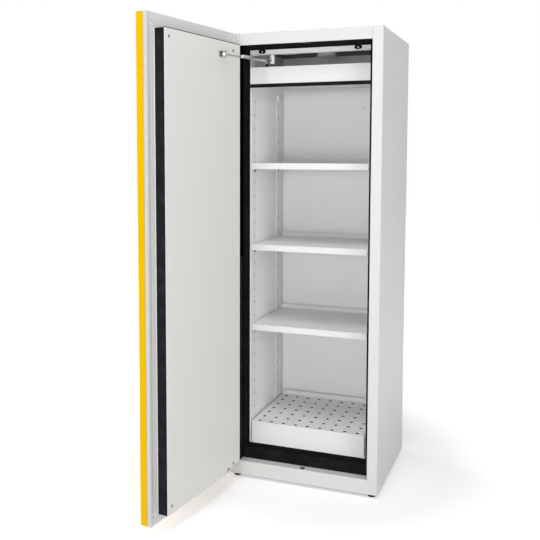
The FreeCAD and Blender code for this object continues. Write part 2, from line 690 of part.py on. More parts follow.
def seal_frame():
    """Stepped heat-expanding seal, four lengths mitred at the corners."""
    outer, middle, inner = post_inner, post_inner - seal_outer, lining_half
    low = (sill_height, sill_height + seal_outer_low, floor_top)
    high = (header_bottom, header_bottom - seal_top_face, header_bottom - 2 * seal_top_face)
    step = recess + seal_step
    for name, sign in (("seal_left", -1), ("seal_right", 1)):
        piece = Piece(name)
        first = [(outer, low[0]), (middle, low[1]), (middle, high[1]), (outer, high[0])]
        piece.pad("XZ", mirrored_x(first, sign), recess, step)
        second = [(outer, low[0]), (middle, low[1]), (inner, low[2]), (inner, high[2]),
                  (middle, high[1]), (outer, high[0])]
        piece.pad("XZ", mirrored_x(second, sign), step, lining_front)
        piece.stand()
    for name, levels in (("seal_bottom", low), ("seal_top", high)):
        piece = Piece(name)
        first = [(-outer, levels[0]), (outer, levels[0]), (middle, levels[1]),
                 (-middle, levels[1])]
        piece.pad("XZ", first, recess, step)
        second = [(-outer, levels[0]), (outer, levels[0]), (middle, levels[1]),
                  (inner, levels[2]), (-inner, levels[2]), (-middle, levels[1])]
        piece.pad("XZ", second, step, lining_front)
        piece.stand()


def upright(name, sign, start, strip_width, column):
    """Upright strip with its column of slots for the shelf clips."""
    piece = Piece(name)
    section = rectangle(strip_half, start, lining_half, start + strip_width)
    piece.pad("XY", mirrored_x(section, sign), floor_top, strip_top)
    slot = rectangle(column - slot_width / 2, slot_first - slot_height / 2,
                     column + slot_width / 2, slot_first + slot_height / 2)
    side = strip_half if sign > 0 else -lining_half
    first = piece.cut("YZ", slot, side, side + strip_thick)
    piece.repeat(first, "Z_Axis", slot_spacing, slot_count)
    piece.stand()


def shelf_seat(slot_number):
    """Level of a shelf's underside when its clips hang in the given slot."""
    return slot_first + slot_spacing * slot_number


def shelf(name, slot_number):
    """Tray shelf: dished plate, edges folded down, rear upstand."""
    piece = Piece(name)
    rim = shelf_lip
    piece.pad("XY", rectangle(-shelf_half, shelf_front, shelf_half, shelf_rear), 0, rim)
    inside = rectangle(-shelf_half + tray_sheet, shelf_front + tray_sheet,
                       shelf_half - tray_sheet, shelf_rear - tray_sheet)
    piece.cut("XY", inside, rim - shelf_dish, rim)
    piece.cut("XY", inside, 0, rim - shelf_dish - tray_sheet)
    piece.pad("XZ", rectangle(-shelf_half, rim, shelf_half, rim + shelf_upstand),
              shelf_rear - tray_sheet, shelf_rear)
    piece.place(0, front, shelf_seat(slot_number))


def shelf_clips():
    """Hooked clips: a ledge under the shelf, a tab on the strip and a tongue in the slot."""
    piece = Piece("shelf_clips")
    for slot_number in SHELF_SLOTS.values():
        seat = shelf_seat(slot_number)
        ledges = []
        tabs = []
        tongues = []
        for sign in (-1, 1):
            for column in (slot_front, slot_rear):
                ledges.append(mirrored_x(rectangle(
                    strip_half - clip_reach, column - clip_width / 2,
                    strip_half, column + clip_width / 2), sign))
                tabs.append(mirrored_x(rectangle(
                    strip_half - strip_thick, column - clip_width / 2,
                    strip_half, column + clip_width / 2), sign))
                tongues.append(mirrored_x(rectangle(
                    strip_half - strip_thick, column - slot_width / 2 + clip_play,
                    lining_half, column + slot_width / 2 - clip_play), sign))
        piece.pad("XY", ledges, seat - strip_thick, seat)
        piece.pad("XY", tabs, seat - clip_drop, seat - strip_thick)
        piece.pad("XY", tongues, seat - strip_thick, seat)
    piece.stand()


def sump_tray():
    """Deep open tray on the floor that holds spills."""
    piece = Piece("sump_tray")
    edge = sump_half
    piece.pad("XY", rectangle(-edge, shelf_front, edge, sump_rear), 0, sump_height)
    inside = rectangle(-edge + tray_sheet, shelf_front + tray_sheet,
                       edge - tray_sheet, sump_rear - tray_sheet)
    piece.cut("XY", inside, tray_sheet, sump_height)
    piece.place(0, front, floor_top)


def sump_cover():
    """Perforated cover on the rim of the sump tray, with a skirt and a rear upstand."""
    piece = Piece("sump_cover")
    edge = sump_half
    skirt = edge - tray_sheet - cover_play
    near = shelf_front + tray_sheet + cover_play
    far = sump_rear - tray_sheet - cover_play
    piece.pad("XY", rectangle(-edge, shelf_front, edge, sump_rear), 0, cover_sheet)
    piece.pad("XY", rectangle(-skirt, near, skirt, far), -cover_skirt, 0)
    inside = rectangle(-skirt + cover_sheet, near + cover_sheet,
                       skirt - cover_sheet, far - cover_sheet)
    piece.cut("XY", inside, -cover_skirt, 0)
    piece.pad("XZ", rectangle(-edge, cover_sheet, edge, cover_upstand),
              sump_rear - cover_sheet, sump_rear)
    middle = (HOLE_COLUMNS - 1) / 2
    row = [Circle(hole_pitch_x * (column - middle), shelf_front + hole_first, hole_radius)
           for column in range(HOLE_COLUMNS)]
    first = piece.cut("XY", row, 0, cover_sheet)
    piece.repeat(first, "Y_Axis", hole_pitch_y, HOLE_ROWS)
    piece.place(0, front, floor_top + sump_height)


def plenum():
    """Ventilation fascia: folded front with a top flange, and the floor behind it."""
    piece = Piece("plenum_fascia")
    top = fascia_bottom + fascia_height
    level = fascia_bottom + plenum_rise
    face = rectangle(-lining_half, fascia_bottom, lining_half, top)
    piece.pad("XZ", face, shelf_front, shelf_front + steel)
    piece.pad("XY", rectangle(-lining_half, shelf_front + steel, lining_half,
                              shelf_front + fascia_shelf), top - steel, top)
    piece.pad("XY", rectangle(-lining_half, shelf_front + steel, lining_half, plenum_rear),
              level, level + steel)
    piece.stand()
    trim_front = lining_front + trim_gap
    box_board("plenum_trim", -lining_half, lining_half, trim_front, trim_front + trim_depth,
              fascia_bottom - trim_height, fascia_bottom)


def guide_rail():
    """Inverted channel under the ceiling that guides the arm's slider."""
    piece = Piece("guide_rail")
    bottom = header_bottom - rail_height
    path = [(rail_depth - rail_front_gap, bottom), (rail_depth - rail_front_gap, header_bottom),
            (rail_depth + rail_rear_gap, header_bottom), (rail_depth + rail_rear_gap, bottom)]
    piece.pad("YZ", folded(path, steel, -1), -lining_half, lining_half)
    piece.stand()


def rail_caps():
    """Oval end caps on the front of the rail."""
    piece = Piece("rail_caps")
    face = rail_depth - rail_front_gap
    level = header_bottom - rail_height + cap_height
    ovals = []
    ends = []
    for sign in (-1, 1):
        place = (lining_half - cap_inset) * sign
        flat = (cap_length - cap_height) / 2
        ovals.append(rectangle(place - flat, level - cap_height / 2,
                               place + flat, level + cap_height / 2))
        ends.append((place - flat, place + flat))
    piece.pad("XZ", ovals, face - cap_thick, face)
    for left, right in ends:
        for centre in (left, right):
            piece.pad("XZ", Circle(centre, level, cap_height / 2), face - cap_thick, face)
    piece.stand()


def spigot(name, x, y):
    """Roof spigot: a pipe from below the ceiling to above the roof, with a roof flange."""
    piece = Piece(name)
    inner = duct_radius - duct_wall
    profile = [(inner, header_bottom - duct_drop), (duct_radius, header_bottom - duct_drop),
               (duct_radius, height), (duct_flange, height), (duct_flange, height + duct_wall),
               (duct_radius, height + duct_wall), (duct_radius, height + duct_rise),
               (inner, height + duct_rise)]
    piece.revolve(profile, x, front + y)


def damper(name, x, y):
    """Round damper flap on its spindle, standing open inside the spigot."""
    piece = Piece(name)
    reach = duct_radius - duct_wall - duct_play / 2
    piece.pad("XZ", Circle(0, 0, flap_radius), -flap_thick / 2, flap_thick / 2)
    piece.pad("YZ", Circle(0, 0, flap_spindle), -reach, reach)
    piece.place(x, front + y, flap_level)


def foot(name, sign, along):
    """Levelling foot: pad, cone and threaded stud."""
    piece = Piece(name)
    edge = foot_pad / 2
    profile = [(0, 0), (foot_radius, 0), (foot_radius, edge), (foot_stud * 2, foot_pad),
               (foot_stud, foot_pad), (foot_stud, foot_stud_top), (0, foot_stud_top)]
    piece.revolve(profile, sign * (half - foot_inset_x), front + along)


def sill_bush():
    """Flanged bush in the sill that takes the lower bolt."""
    piece = Piece("sill_bush")
    low = sill_height - bush_depth
    profile = [(bush_bore, low), (bush_radius, low), (bush_radius, sill_height),
               (bush_flange, sill_height), (bush_flange, sill_height + bush_head),
               (bush_bore, sill_height + bush_head)]
    piece.revolve(profile, 0, front + bolt_line)


def hinge_levels():
    """Lower ends of the two hinge pockets."""
    return (hinge_low, hinge_high)


def hinge_brackets():
    """Cabinet halves of the hinges: plate on the post, arm, knuckle and pin."""
    piece = Piece("hinge_brackets")
    for low in hinge_levels():
        bottom = low + hinge_play
        top = low + hinge_pocket - hinge_play
        inner_low = bottom + knuckle_low + knuckle_play
        inner_high = top - knuckle_low - knuckle_play
        left = -half + hinge_plate_edge
        right = -post_inner - hinge_plate_edge
        piece.pad("XY", rectangle(left, -hinge_plate, right, 0), bottom, top)
        piece.pad("XY", rectangle(pin_x - knuckle_arm / 2, pin_y, pin_x + knuckle_arm / 2, 0),
                  inner_low, inner_high)
        piece.pad("XY", Circle(pin_x, pin_y, knuckle_radius), inner_low, inner_high)
        piece.pad("XY", Circle(pin_x, pin_y, pin_radius), bottom, top)
    piece.stand()


def hinge_knuckles():
    """Door halves of the hinges: two knuckles on a leaf against the pocket's wall."""
    piece = Piece("hinge_knuckles")
    for low in hinge_levels():
        bottom = low + hinge_play
        top = low + hinge_pocket - hinge_play
        for start, end in ((bottom, bottom + knuckle_low), (top - knuckle_low, top)):
            piece.pad("XY", Circle(0, 0, knuckle_radius), start, end)
            piece.pad("XY", rectangle(0, -knuckle_radius + hinge_leaf, hinge_reach,
                                      knuckle_radius - hinge_leaf), start, end)
        piece.pad("XY", rectangle(hinge_reach - hinge_leaf, -hinge_reach + hinge_leaf,
                                  hinge_reach, pin_depth - hinge_leaf), bottom, top)
    for low in hinge_levels():
        piece.cut("XY", Circle(0, 0, pin_radius + pin_play), low, low + hinge_pocket)
    piece.hang()


def pocket_outline():
    """Hinge pocket in the edge of the leaf, seen from above."""
    return rectangle(leaf_start - pocket_overrun, -hinge_reach, hinge_reach,
                     pin_depth + pocket_overrun)


def cut_hinge_pockets(piece):
    """Opens both hinge pockets in a layer of the leaf."""
    for low in hinge_levels():
        piece.cut("XY", pocket_outline(), low, low + hinge_pocket)


def door_layers():
    """Leaf: coloured outer skin, light inner pan and the insulation between them."""
    skin = Piece("door_outer_skin")
    outline = rectangle(leaf_start, leaf_bottom, leaf_end, leaf_top)
    inside = rectangle(leaf_start + steel, leaf_bottom + steel, leaf_end - steel,
                       leaf_top - steel)
    skin.pad("XZ", outline, leaf_outer, leaf_joint)
    skin.cut("XZ", inside, leaf_outer + steel, leaf_joint)
    handle_u = leaf_end - handle_inset
    skin.cut("XZ", Circle(handle_u, handle_level, lever_neck + bolt_play),
             leaf_outer, leaf_outer + steel)
    cut_hinge_pockets(skin)
    skin.hang()

    pan = Piece("door_inner_pan")
    pan.pad("XZ", outline, leaf_joint, pin_depth)
    pan.cut("XZ", inside, leaf_joint, pin_depth - steel)
    cut_hinge_pockets(pan)
    pan.hang()

    core = Piece("door_core")
    core.pad("XZ", inside, leaf_outer + steel, pin_depth - steel)
    spindle = Circle(handle_u, handle_level, lever_neck + bolt_play)
    core.cut("XZ", spindle, leaf_outer + steel, leaf_outer + steel + handle_plate)
    cut_hinge_pockets(core)
    core.hang()


def block_outline(inset):
    """Outline of the inner block with its notch in the lower hinge corner."""
    notch_u = block_start + block_notch_width
    notch_z = block_bottom + block_notch_height
    return [(block_start + inset, notch_z + inset), (notch_u + inset, notch_z + inset),
            (notch_u + inset, block_bottom + inset), (block_end - inset, block_bottom + inset),
            (block_end - inset, block_top - inset), (block_start + inset, block_top - inset)]


def door_block():
    """Inner block: insulation, dark edge frame and the light panel over it."""
    frame = Piece("door_edge_frame")
    panel_back = block_face - panel_sheet
    bore = bolt_radius + bolt_play
    frame.pad("XZ", block_outline(as_size(0)), pin_depth, panel_back)
    frame.cut("XZ", block_outline(block_edge), pin_depth, panel_back)
    frame.cut("XY", Circle(bolt_u, bolt_n, bore), block_bottom, block_bottom + block_edge)
    frame.cut("XY", Circle(bolt_u, bolt_n, bore), block_top - block_edge, block_top)
    frame.hang()

    core = Piece("door_block_core")
    core.pad("XZ", block_outline(block_edge), pin_depth, panel_back)
    core.cut("XY", Circle(bolt_u, bolt_n, bore), block_bottom + block_edge,
             block_bottom + bolt_length + bolt_room)
    core.cut("XY", Circle(bolt_u, bolt_n, bore), block_top - bolt_length - bolt_room,
             block_top - block_edge)
    core.hang()

    panel = Piece("door_inner_panel")
    panel.pad("XZ", block_outline(as_size(0)), panel_back, block_face)
    panel.hang()


def panel_screws():
    """Flat screw heads that hold the inner panel."""
    piece = Piece("panel_screws")
    near = block_start + screw_hinge
    far = block_end - screw_inset
    low = block_bottom + screw_inset
    high = block_top - screw_inset
    heads = [Circle(near, high, screw_radius), Circle(near, low, screw_radius),
             Circle(far, high, screw_radius), Circle(far, low, screw_radius)]
    piece.pad("XZ", heads, block_face, block_face + screw_head)
    piece.hang()


def bolts():
    """Round bolts in the block, one down into the sill and one up into the header."""
    lower = Piece("bolt_lower")
    start = block_bottom + bolt_retract
    lower.pad("XY", Circle(bolt_u, bolt_n, bolt_radius), start, start + bolt_length)
    lower.hang()
    upper = Piece("bolt_upper")
    end = block_top - bolt_retract
    upper.pad("XY", Circle(bolt_u, bolt_n, bolt_radius), end - bolt_length, end)
    upper.hang()


def handle():
    """Plate, lever and lock cylinder on the outside of the leaf."""
    handle_u = leaf_end - handle_inset
    plate_face = leaf_outer - handle_plate
    plate_drop = handle_height - handle_width
    low = handle_level - plate_drop
    plate = Piece("handle_plate")
    plate.pad("XZ", rectangle(handle_u - handle_width / 2, low, handle_u + handle_width / 2,
                              low + handle_height), plate_face, leaf_outer)
    plate.cut("XZ", Circle(handle_u, handle_level, lever_neck + lever_play),
              plate_face, leaf_outer)
    plate.cut("XZ", Circle(handle_u, handle_level - cylinder_drop,
                           cylinder_radius + lever_play), plate_face, leaf_outer)
    plate.hang()

    lever = Piece("door_lever")
    grip_middle = plate_face - lever_stand
    lever.pad("XZ", Circle(handle_u, handle_level, lever_neck),
              grip_middle, leaf_outer + handle_plate)
    grip = rectangle(handle_u - lever_length, handle_level - lever_grip,
                     handle_u + lever_heel, handle_level + lever_grip)
    lever.pad("XZ", grip, grip_middle - lever_grip, grip_middle + lever_grip)
    lever.round_edges(lambda middle, way: abs(way.x) > 0.9, lever_round)
    lever.hang()

    cylinder = Piece("lock_cylinder")
    level = handle_level - cylinder_drop
    cylinder.pad("XZ", Circle(handle_u, level, cylinder_radius),
                 plate_face - cylinder_proud, leaf_outer)
    slot = rectangle(handle_u - key_width / 2, level - key_slot / 2,
                     handle_u + key_width / 2, level + key_slot / 2)
    cylinder.cut("XZ", slot, plate_face - cylinder_proud, plate_face)
    cylinder.hang()


def arm_bracket():
    """Forked bracket on the inner panel with the arm's pivot pin between two lugs."""
    piece = Piece("arm_bracket")
    half = eye_height / 2 + link_gap + lug_thick
    low = arm_level - half
    high = arm_level + half
    plate = rectangle(arm_anchor_u - anchor_width / 2, low, arm_anchor_u + anchor_width / 2, high)
    piece.pad("XZ", plate, block_face, block_face + anchor_plate)
    lug = rectangle(arm_anchor_u - lug_width / 2, block_face + anchor_plate,
                    arm_anchor_u + lug_width / 2, arm_anchor_depth)
    for level in (low, high - lug_thick):
        piece.pad("XY", lug, level, level + lug_thick)
        piece.pad("XY", Circle(arm_anchor_u, arm_anchor_depth, lug_width / 2),
                  level, level + lug_thick)
    piece.pad("XY", Circle(arm_anchor_u, arm_anchor_depth, link_pin),
              low + lug_thick, high - lug_thick)
    piece.hang()


def guide_arm():
    """Arm: two eyes, a rod and a thicker tube, drawn along +X from the door's pivot."""
    piece = Piece("guide_arm")
    low = arm_level - eye_height / 2
    high = arm_level + eye_height / 2
    piece.pad("XY", Circle(0, 0, eye_radius), low, high)
    piece.pad("XY", Circle(arm_length, 0, eye_radius), low, high)
    piece.pad("YZ", Circle(0, arm_level, arm_rod), 0, arm_rod_length)
    piece.pad("YZ", Circle(0, arm_level, arm_tube), arm_rod_length, arm_length)
    piece.cut("XY", [Circle(0, 0, link_pin + link_play),
                     Circle(arm_length, 0, link_pin + link_play)], low, high)
    piece.place(arm_anchor_x, front + arm_anchor_y, 0)
    piece.turn(arm_angle)


def guide_slider():
    """Round slider with a stud in the rail and a pin that holds the arm's eye over a cap."""
    piece = Piece("guide_slider")
    rail_bottom = header_bottom - rail_height
    block_high = rail_bottom - slider_gap
    block_low = arm_level + eye_height / 2 + link_gap
    cap_high = arm_level - eye_height / 2 - link_gap
    piece.pad("XY", Circle(0, 0, slider_radius), block_low, block_high)
    piece.pad("XY", Circle(0, 0, slider_stud), block_high, rail_bottom + slider_stud_rise)
    piece.pad("XY", Circle(0, 0, link_pin), cap_high, block_low)
    piece.pad("XY", Circle(0, 0, slider_radius), cap_high - slider_cap, cap_high)
    piece.place(arm_anchor_x + arm_spread, front + rail_depth, 0)


def door_stop():
    """Rubber stop on the fascia's top flange."""
    piece = Piece("door_stop")
    level = fascia_bottom + fascia_height
    stop = Circle(stop_inset - lining_half, stop_y, stop_radius)
    piece.pad("XY", stop, level, level + stop_height)
    piece.stand()


def build():
    """Makes every piece of the cabinet."""
    side_panel("side_panel_left", -1)
    side_panel("side_panel_right", 1)
    plinth()
    roof()
    back_panel()
    insulation()
    lining()
    seal_frame()
    for side, sign in (("left", -1), ("right", 1)):
        upright("upright_front_" + side, sign, strip_front_start, strip_front_width, slot_front)
        upright("upright_rear_" + side, sign, strip_rear_start, strip_rear_width, slot_rear)
    for level, slot_number in SHELF_SLOTS.items():
        shelf("shelf_" + level, slot_number)
    shelf_clips()
    sump_tray()
    sump_cover()
    plenum()
    guide_rail()
    rail_caps()
    spigot("exhaust_spigot", exhaust_x, exhaust_y)
    spigot("supply_spigot", supply_x, supply_y)
    damper("exhaust_damper", exhaust_x, exhaust_y)
    damper("supply_damper", supply_x, supply_y)
    for side, sign in (("left", -1), ("right", 1)):
        foot("foot_front_" + side, sign, foot_inset_y)
        foot("foot_rear_" + side, sign, depth - foot_inset_y)
    sill_bush()
    hinge_brackets()
    hinge_knuckles()
    door_layers()
    door_block()
    panel_screws()
    bolts()
    handle()
    arm_bracket()
    guide_arm()
    guide_slider()
    door_stop()


def finished_parts():
    """Sub-parts of the document: bodies and boards."""
    return [item for item in doc.Objects
            if item.TypeId in ("PartDesign::Body", "Part::Box")]


def check_model():
    """Stops on any failed object or unsound solid."""
    for item in doc.Objects:
        if "Invalid" in item.State or "Error" in item.State:
            raise RuntimeError("%s failed: %s" % (item.Name, item.State))
    for item in finished_parts():
        if item.Shape.isNull() or not item.Shape.isValid() or not item.Shape.Solids:
            raise RuntimeError("%s has no sound solid" % item.Label)


def write_parts():
    """Writes each sub-part to its own file."""
    os.makedirs("parts", exist_ok=True)
    for item in finished_parts():
        item.Shape.exportStep("parts/%s.step" % item.Label)


build()
doc.recompute()
check_model()
write_parts()
print("%d sub-parts" % len(finished_parts()))
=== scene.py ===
import json
import logging
import math
from dataclasses import dataclass, field
from enum import Enum
from typing import Iterable, Optional, Sequence, Union

import bmesh
import bpy
from mathutils import Euler, Matrix, Vector


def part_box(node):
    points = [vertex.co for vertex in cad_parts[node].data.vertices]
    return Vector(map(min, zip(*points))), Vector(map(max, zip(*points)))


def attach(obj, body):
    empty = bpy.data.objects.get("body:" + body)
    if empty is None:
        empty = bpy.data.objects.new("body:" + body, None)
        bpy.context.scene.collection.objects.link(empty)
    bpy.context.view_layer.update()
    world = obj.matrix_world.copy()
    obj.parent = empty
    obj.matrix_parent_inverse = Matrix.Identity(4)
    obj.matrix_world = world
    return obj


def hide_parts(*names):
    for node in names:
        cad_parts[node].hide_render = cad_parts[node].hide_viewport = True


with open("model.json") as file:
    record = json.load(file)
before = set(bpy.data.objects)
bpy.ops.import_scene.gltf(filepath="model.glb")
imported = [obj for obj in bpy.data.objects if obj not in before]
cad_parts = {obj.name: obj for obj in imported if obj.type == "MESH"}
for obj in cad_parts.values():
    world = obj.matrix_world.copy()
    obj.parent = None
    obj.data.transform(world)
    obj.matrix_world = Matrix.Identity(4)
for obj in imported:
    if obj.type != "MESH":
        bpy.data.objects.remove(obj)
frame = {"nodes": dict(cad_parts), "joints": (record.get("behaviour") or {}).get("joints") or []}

MM = 0.001
TURN = 2 * math.pi
HERE = Matrix.Identity(4)
MERGE = 1e-6
log = logging.getLogger("safety_cabinet")

Colour = tuple[float, float, float]
Point = Sequence[float]
Corner = tuple[float, float]


def srgb(red: int, green: int, blue: int) -> Colour:
    """Turns a paint colour on the 0 to 255 scale into linear light.

    Args:
        red: Red part.
        green: Green part.
        blue: Blue part.

    Returns:
        The linear colour.
    """
    parts = [part / 255 for part in (red, green, blue)]
    return tuple(part / 12.92 if part <= 0.04045 else ((part + 0.055) / 1.055) ** 2.4
                 for part in parts)


WHITE: Colour = (1.0, 1.0, 1.0)
FLOOR_GREY = srgb(232, 232, 232)
# Darker brownish grey that the coats blend towards low down.
LOW_DARK_GREY = srgb(168, 165, 158)


class Side(Enum):
    """Left or right side of the cabinet, seen from the front."""

    LEFT = -1
    RIGHT = 1


class Drive(Enum):
    """Recess in the head of a screw."""

    PLAIN = "plain"
    CROSS = "cross"
    SLOT = "slot"


Socketable = Union["Signal", float, Colour, Sequence[float]]


class Signal:
    """A shader value that takes part in Python arithmetic."""

    def __init__(self, graph: "Graph", socket: bpy.types.NodeSocket) -> None:
        """Holds one output socket of a graph."""
        self.graph = graph
        self.socket = socket

    def _math(self, operation: str, *values: Socketable) -> "Signal":
        """Adds one Math node and returns its result."""
        return self.graph.node("ShaderNodeMath", {"operation": operation}, values).out("Value")

    def __add__(self, other: Socketable) -> "Signal":
        """Sum."""
        return self._math("ADD", self, other)

    __radd__ = __add__

    def __mul__(self, other: Socketable) -> "Signal":
        """Product."""
        return self._math("MULTIPLY", self, other)

    __rmul__ = __mul__

    def __sub__(self, other: Socketable) -> "Signal":
        """Difference."""
        return self._math("SUBTRACT", self, other)

    def __rsub__(self, other: Socketable) -> "Signal":
        """Difference from another value."""
        return self._math("SUBTRACT", other, self)

    def __truediv__(self, other: Socketable) -> "Signal":
        """Quotient."""
        return self._math("DIVIDE", self, other)

    def clamped(self) -> "Signal":
        """Keeps the value between 0 and 1."""
        return self._math("MINIMUM", self._math("MAXIMUM", self, 0.0), 1.0)


class Made:
    """A node that has been placed in a graph."""

    def __init__(self, graph: "Graph", item: bpy.types.ShaderNode) -> None:
        """Holds the node and its graph."""
        self.graph = graph
        self.item = item

    def out(self, name: str) -> Signal:
        """Returns the output socket of that name or identifier."""
        return Signal(self.graph, self.graph.find(self.item.outputs, name))


class Graph:
    """Node tree of one material or world."""

    def __init__(self, tree: bpy.types.NodeTree) -> None:
        """Empties the tree and starts on it."""
        self.tree = tree
        tree.nodes.clear()

    @staticmethod
    def find(sockets: Iterable[bpy.types.NodeSocket], name: Union[str, int]
             ) -> bpy.types.NodeSocket:
        """Looks a socket up.

        Args:
            sockets: Inputs or outputs of a node.
            name: Identifier, name or place of the socket.

        Returns:
            The socket.
        """
        sockets = list(sockets)
        if isinstance(name, int):
            return sockets[name]
        exact = [socket for socket in sockets if socket.identifier == name]
        named = [socket for socket in sockets if socket.name == name and socket.enabled]
        return (exact or named)[0]

    def node(self, kind: str, settings: Optional[dict] = None,
             inputs: Union[dict, Sequence, None] = None) -> Made:
        """Adds a node.

        Args:
            kind: Blender's name of the node type.
            settings: Properties of the node; stops holds a ramp's places and colours.
            inputs: Values or links, by socket name or in the order of the sockets.

        Returns:
            The placed node.
        """
        item = self.tree.nodes.new(kind)
        settings = dict(settings or {})
        for place, (position, colour) in enumerate(settings.pop("stops", ())):
            ramp = item.color_ramp.elements
            stop = ramp[place] if place < len(ramp) else ramp.new(position)
            stop.position = position
            stop.color = (*colour, 1.0)
        for name, value in settings.items():
            setattr(item, name, value)
        pairs = inputs.items() if isinstance(inputs, dict) else enumerate(inputs or ())
        for name, value in pairs:
            self.feed(self.find(item.inputs, name), value)
        return Made(self, item)

    def feed(self, socket: bpy.types.NodeSocket, value: Socketable) -> None:
        """Links or sets one input socket.

        Args:
            socket: The input.
            value: A signal, a number, a colour or a vector.
        """
        if isinstance(value, Signal):
            self.tree.links.new(value.socket, socket)
        elif socket.type == "RGBA":
            socket.default_value = (*value[:3], 1.0)
        elif socket.type == "VECTOR":
            socket.default_value = tuple(value)
        else:
            socket.default_value = value

    def blend(self, factor: Socketable, first: Socketable, second: Socketable) -> Signal:
        """Mixes two colours.

        Args:
            factor: Share of the second colour.
            first: Colour at factor 0.
            second: Colour at factor 1.

        Returns:
            The mixed colour.
        """
        return self.node("ShaderNodeMix", {"data_type": "RGBA", "blend_type": "MIX"},
                         {"Factor_Float": factor, "A_Color": first, "B_Color": second}
                         ).out("Result_Color")

    def place(self, stretch: Point = (1.0, 1.0, 1.0)) -> Signal:
        """Object coordinates, stretched along the axes."""
        spot = self.node("ShaderNodeTexCoord").out("Object")
        return self.node("ShaderNodeVectorMath", {"operation": "MULTIPLY"},
                         [spot, stretch]).out("Vector")

    def noise(self, scale: float, detail: float = 2.0, stretch: Point = (1.0, 1.0, 1.0)
              ) -> Signal:
        """Soft random pattern around 0.5.

        Args:
            scale: Features per metre.
            detail: Octaves.
            stretch: Stretch of the pattern along each axis.

        Returns:
            The pattern's value.
        """
        return self.node("ShaderNodeTexNoise", {"noise_dimensions": "3D"},
                         {"Vector": self.place(stretch), "Scale": scale, "Detail": detail}
                         ).out("Fac")

    def ramp(self, value: Signal, low: float, high: float) -> Signal:
        """Carries a value from a range to 0 to 1."""
        return ((value - low) / (high - low)).clamped()

    def rounded(self, radius: float) -> Signal:
        """Normal of edges that look rounded by a bend radius in metres."""
        return self.node("ShaderNodeBevel", {"samples": 6}, {"Radius": radius}).out("Normal")

    def seen(self) -> Signal:
        """Is 1 for camera rays, reflections and refractions, and 0 for other light."""
        path = self.node("ShaderNodeLightPath")
        return (path.out("Is Camera Ray") + path.out("Is Glossy Ray")
                + path.out("Is Transmission Ray")).clamped()

    def glow(self, kind: str, strength: Socketable) -> Signal:
        """White light of a strength, from a Background or an Emission node."""
        return self.node("ShaderNode" + kind, None,
                         {"Color": WHITE, "Strength": strength}).out(kind)

    def bump(self, height: Signal, distance: float, normal: Optional[Signal] = None
             ) -> Signal:
        """Turns a height pattern into a surface normal.

        Args:
            height: The pattern.
            distance: Depth of the relief in metres.
            normal: Normal to start from.

        Returns:
            The relief's normal.
        """
        inputs = {"Strength": 1.0, "Distance": distance, "Height": height}
        if normal is not None:
            inputs["Normal"] = normal
        return self.node("ShaderNodeBump", None, inputs).out("Normal")

    def surface(self, **inputs: Socketable) -> Made:
        """Adds the main shader, its inputs named with underscores for spaces."""
        named = {name.replace("_", " "): value for name, value in inputs.items()}
        return self.node("ShaderNodeBsdfPrincipled", None, named)

    def end(self, shader: Signal, kind: str = "ShaderNodeOutputMaterial") -> None:
        """Links a shader to the output."""
        self.node(kind, None, {"Surface": shader})


@dataclass(frozen=True)
class Finish:
    """A surface finish; each kind draws its own nodes."""

    name: str
    colour: Colour
    roughness: float = 0.4
    sheen: float = 0.3
    bend: float = 0.0012

    def draw(self, graph: Graph) -> Made:
        """Draws the nodes and returns the main shader."""
        raise NotImplementedError

    def material(self) -> bpy.types.Material:
        """Returns the finish as a material, made on first use."""
        made = bpy.data.materials.get(self.name)
        if made is None:
            made = bpy.data.materials.new(self.name)
            made.use_nodes = True
            made.diffuse_color = (*self.colour, 1.0)
            graph = Graph(made.node_tree)
            shader = self.draw(graph)
            graph.feed(shader.item.inputs["Specular IOR Level"], self.sheen)
            graph.end(shader.out("BSDF"))
        return made

    def tinted(self, graph: Graph, amount: float, scale: float) -> Signal:
        """Base colour with a soft cloudy variation.

        Args:
            graph: Graph to draw in.
            amount: Strength of the variation.
            scale: Clouds per metre.

        Returns:
            The colour.
        """
        dark = tuple(part * (1 - amount) for part in self.colour)
        light = tuple(min(part * (1 + amount), 1.0) for part in self.colour)
        return graph.blend(graph.noise(scale, 3.0), dark, light)


@dataclass(frozen=True)
class PowderCoat(Finish):
    """Stoved powder coat on sheet steel: satin with a fine orange peel."""

    peel: float = 0.000035
    low_darkening: float = 0.02
    darkening_top: float = 0.35

    def draw(self, graph: Graph) -> Made:
        """Draws the peel, the cloudy tint, a darker grey in cloudy patches towards the bottom,
        and softened sheet edges.
        """
        peel = graph.noise(900.0, 2.0) + graph.noise(260.0, 1.0) * 0.6
        normal = graph.bump(peel, self.peel, graph.rounded(self.bend))
        gloss = self.roughness - 0.05 + graph.noise(35.0, 4.0) * 0.1
        # Low down the coat blends towards a darker brownish grey in cloudy patches, more
        # strongly nearer the floor.
        height = graph.node("ShaderNodeSeparateXYZ", None, [graph.place()]).out("Z")
        low = 1.0 - graph.ramp(height, 0.0, self.darkening_top)
        low_darkening = (low * graph.noise(14.0, 4.0) * self.low_darkening * 3.0).clamped()
        tint = graph.blend(low_darkening, self.tinted(graph, 0.012, 2.5), LOW_DARK_GREY)
        return graph.surface(Base_Color=tint, Roughness=gloss, Normal=normal)


@dataclass(frozen=True)
class CoatedBoard(Finish):
    """Pale laminate on a board, with a faint pearl texture."""

    def draw(self, graph: Graph) -> Made:
        """Draws the pearl relief and the tint."""
        pearl = graph.noise(420.0, 3.0)
        normal = graph.bump(pearl, 0.00004, graph.rounded(self.bend))
        gloss = self.roughness + (graph.noise(60.0) - 0.5) * 0.12
        return graph.surface(Base_Color=self.tinted(graph, 0.02, 4.0), Roughness=gloss,
                             Normal=normal)


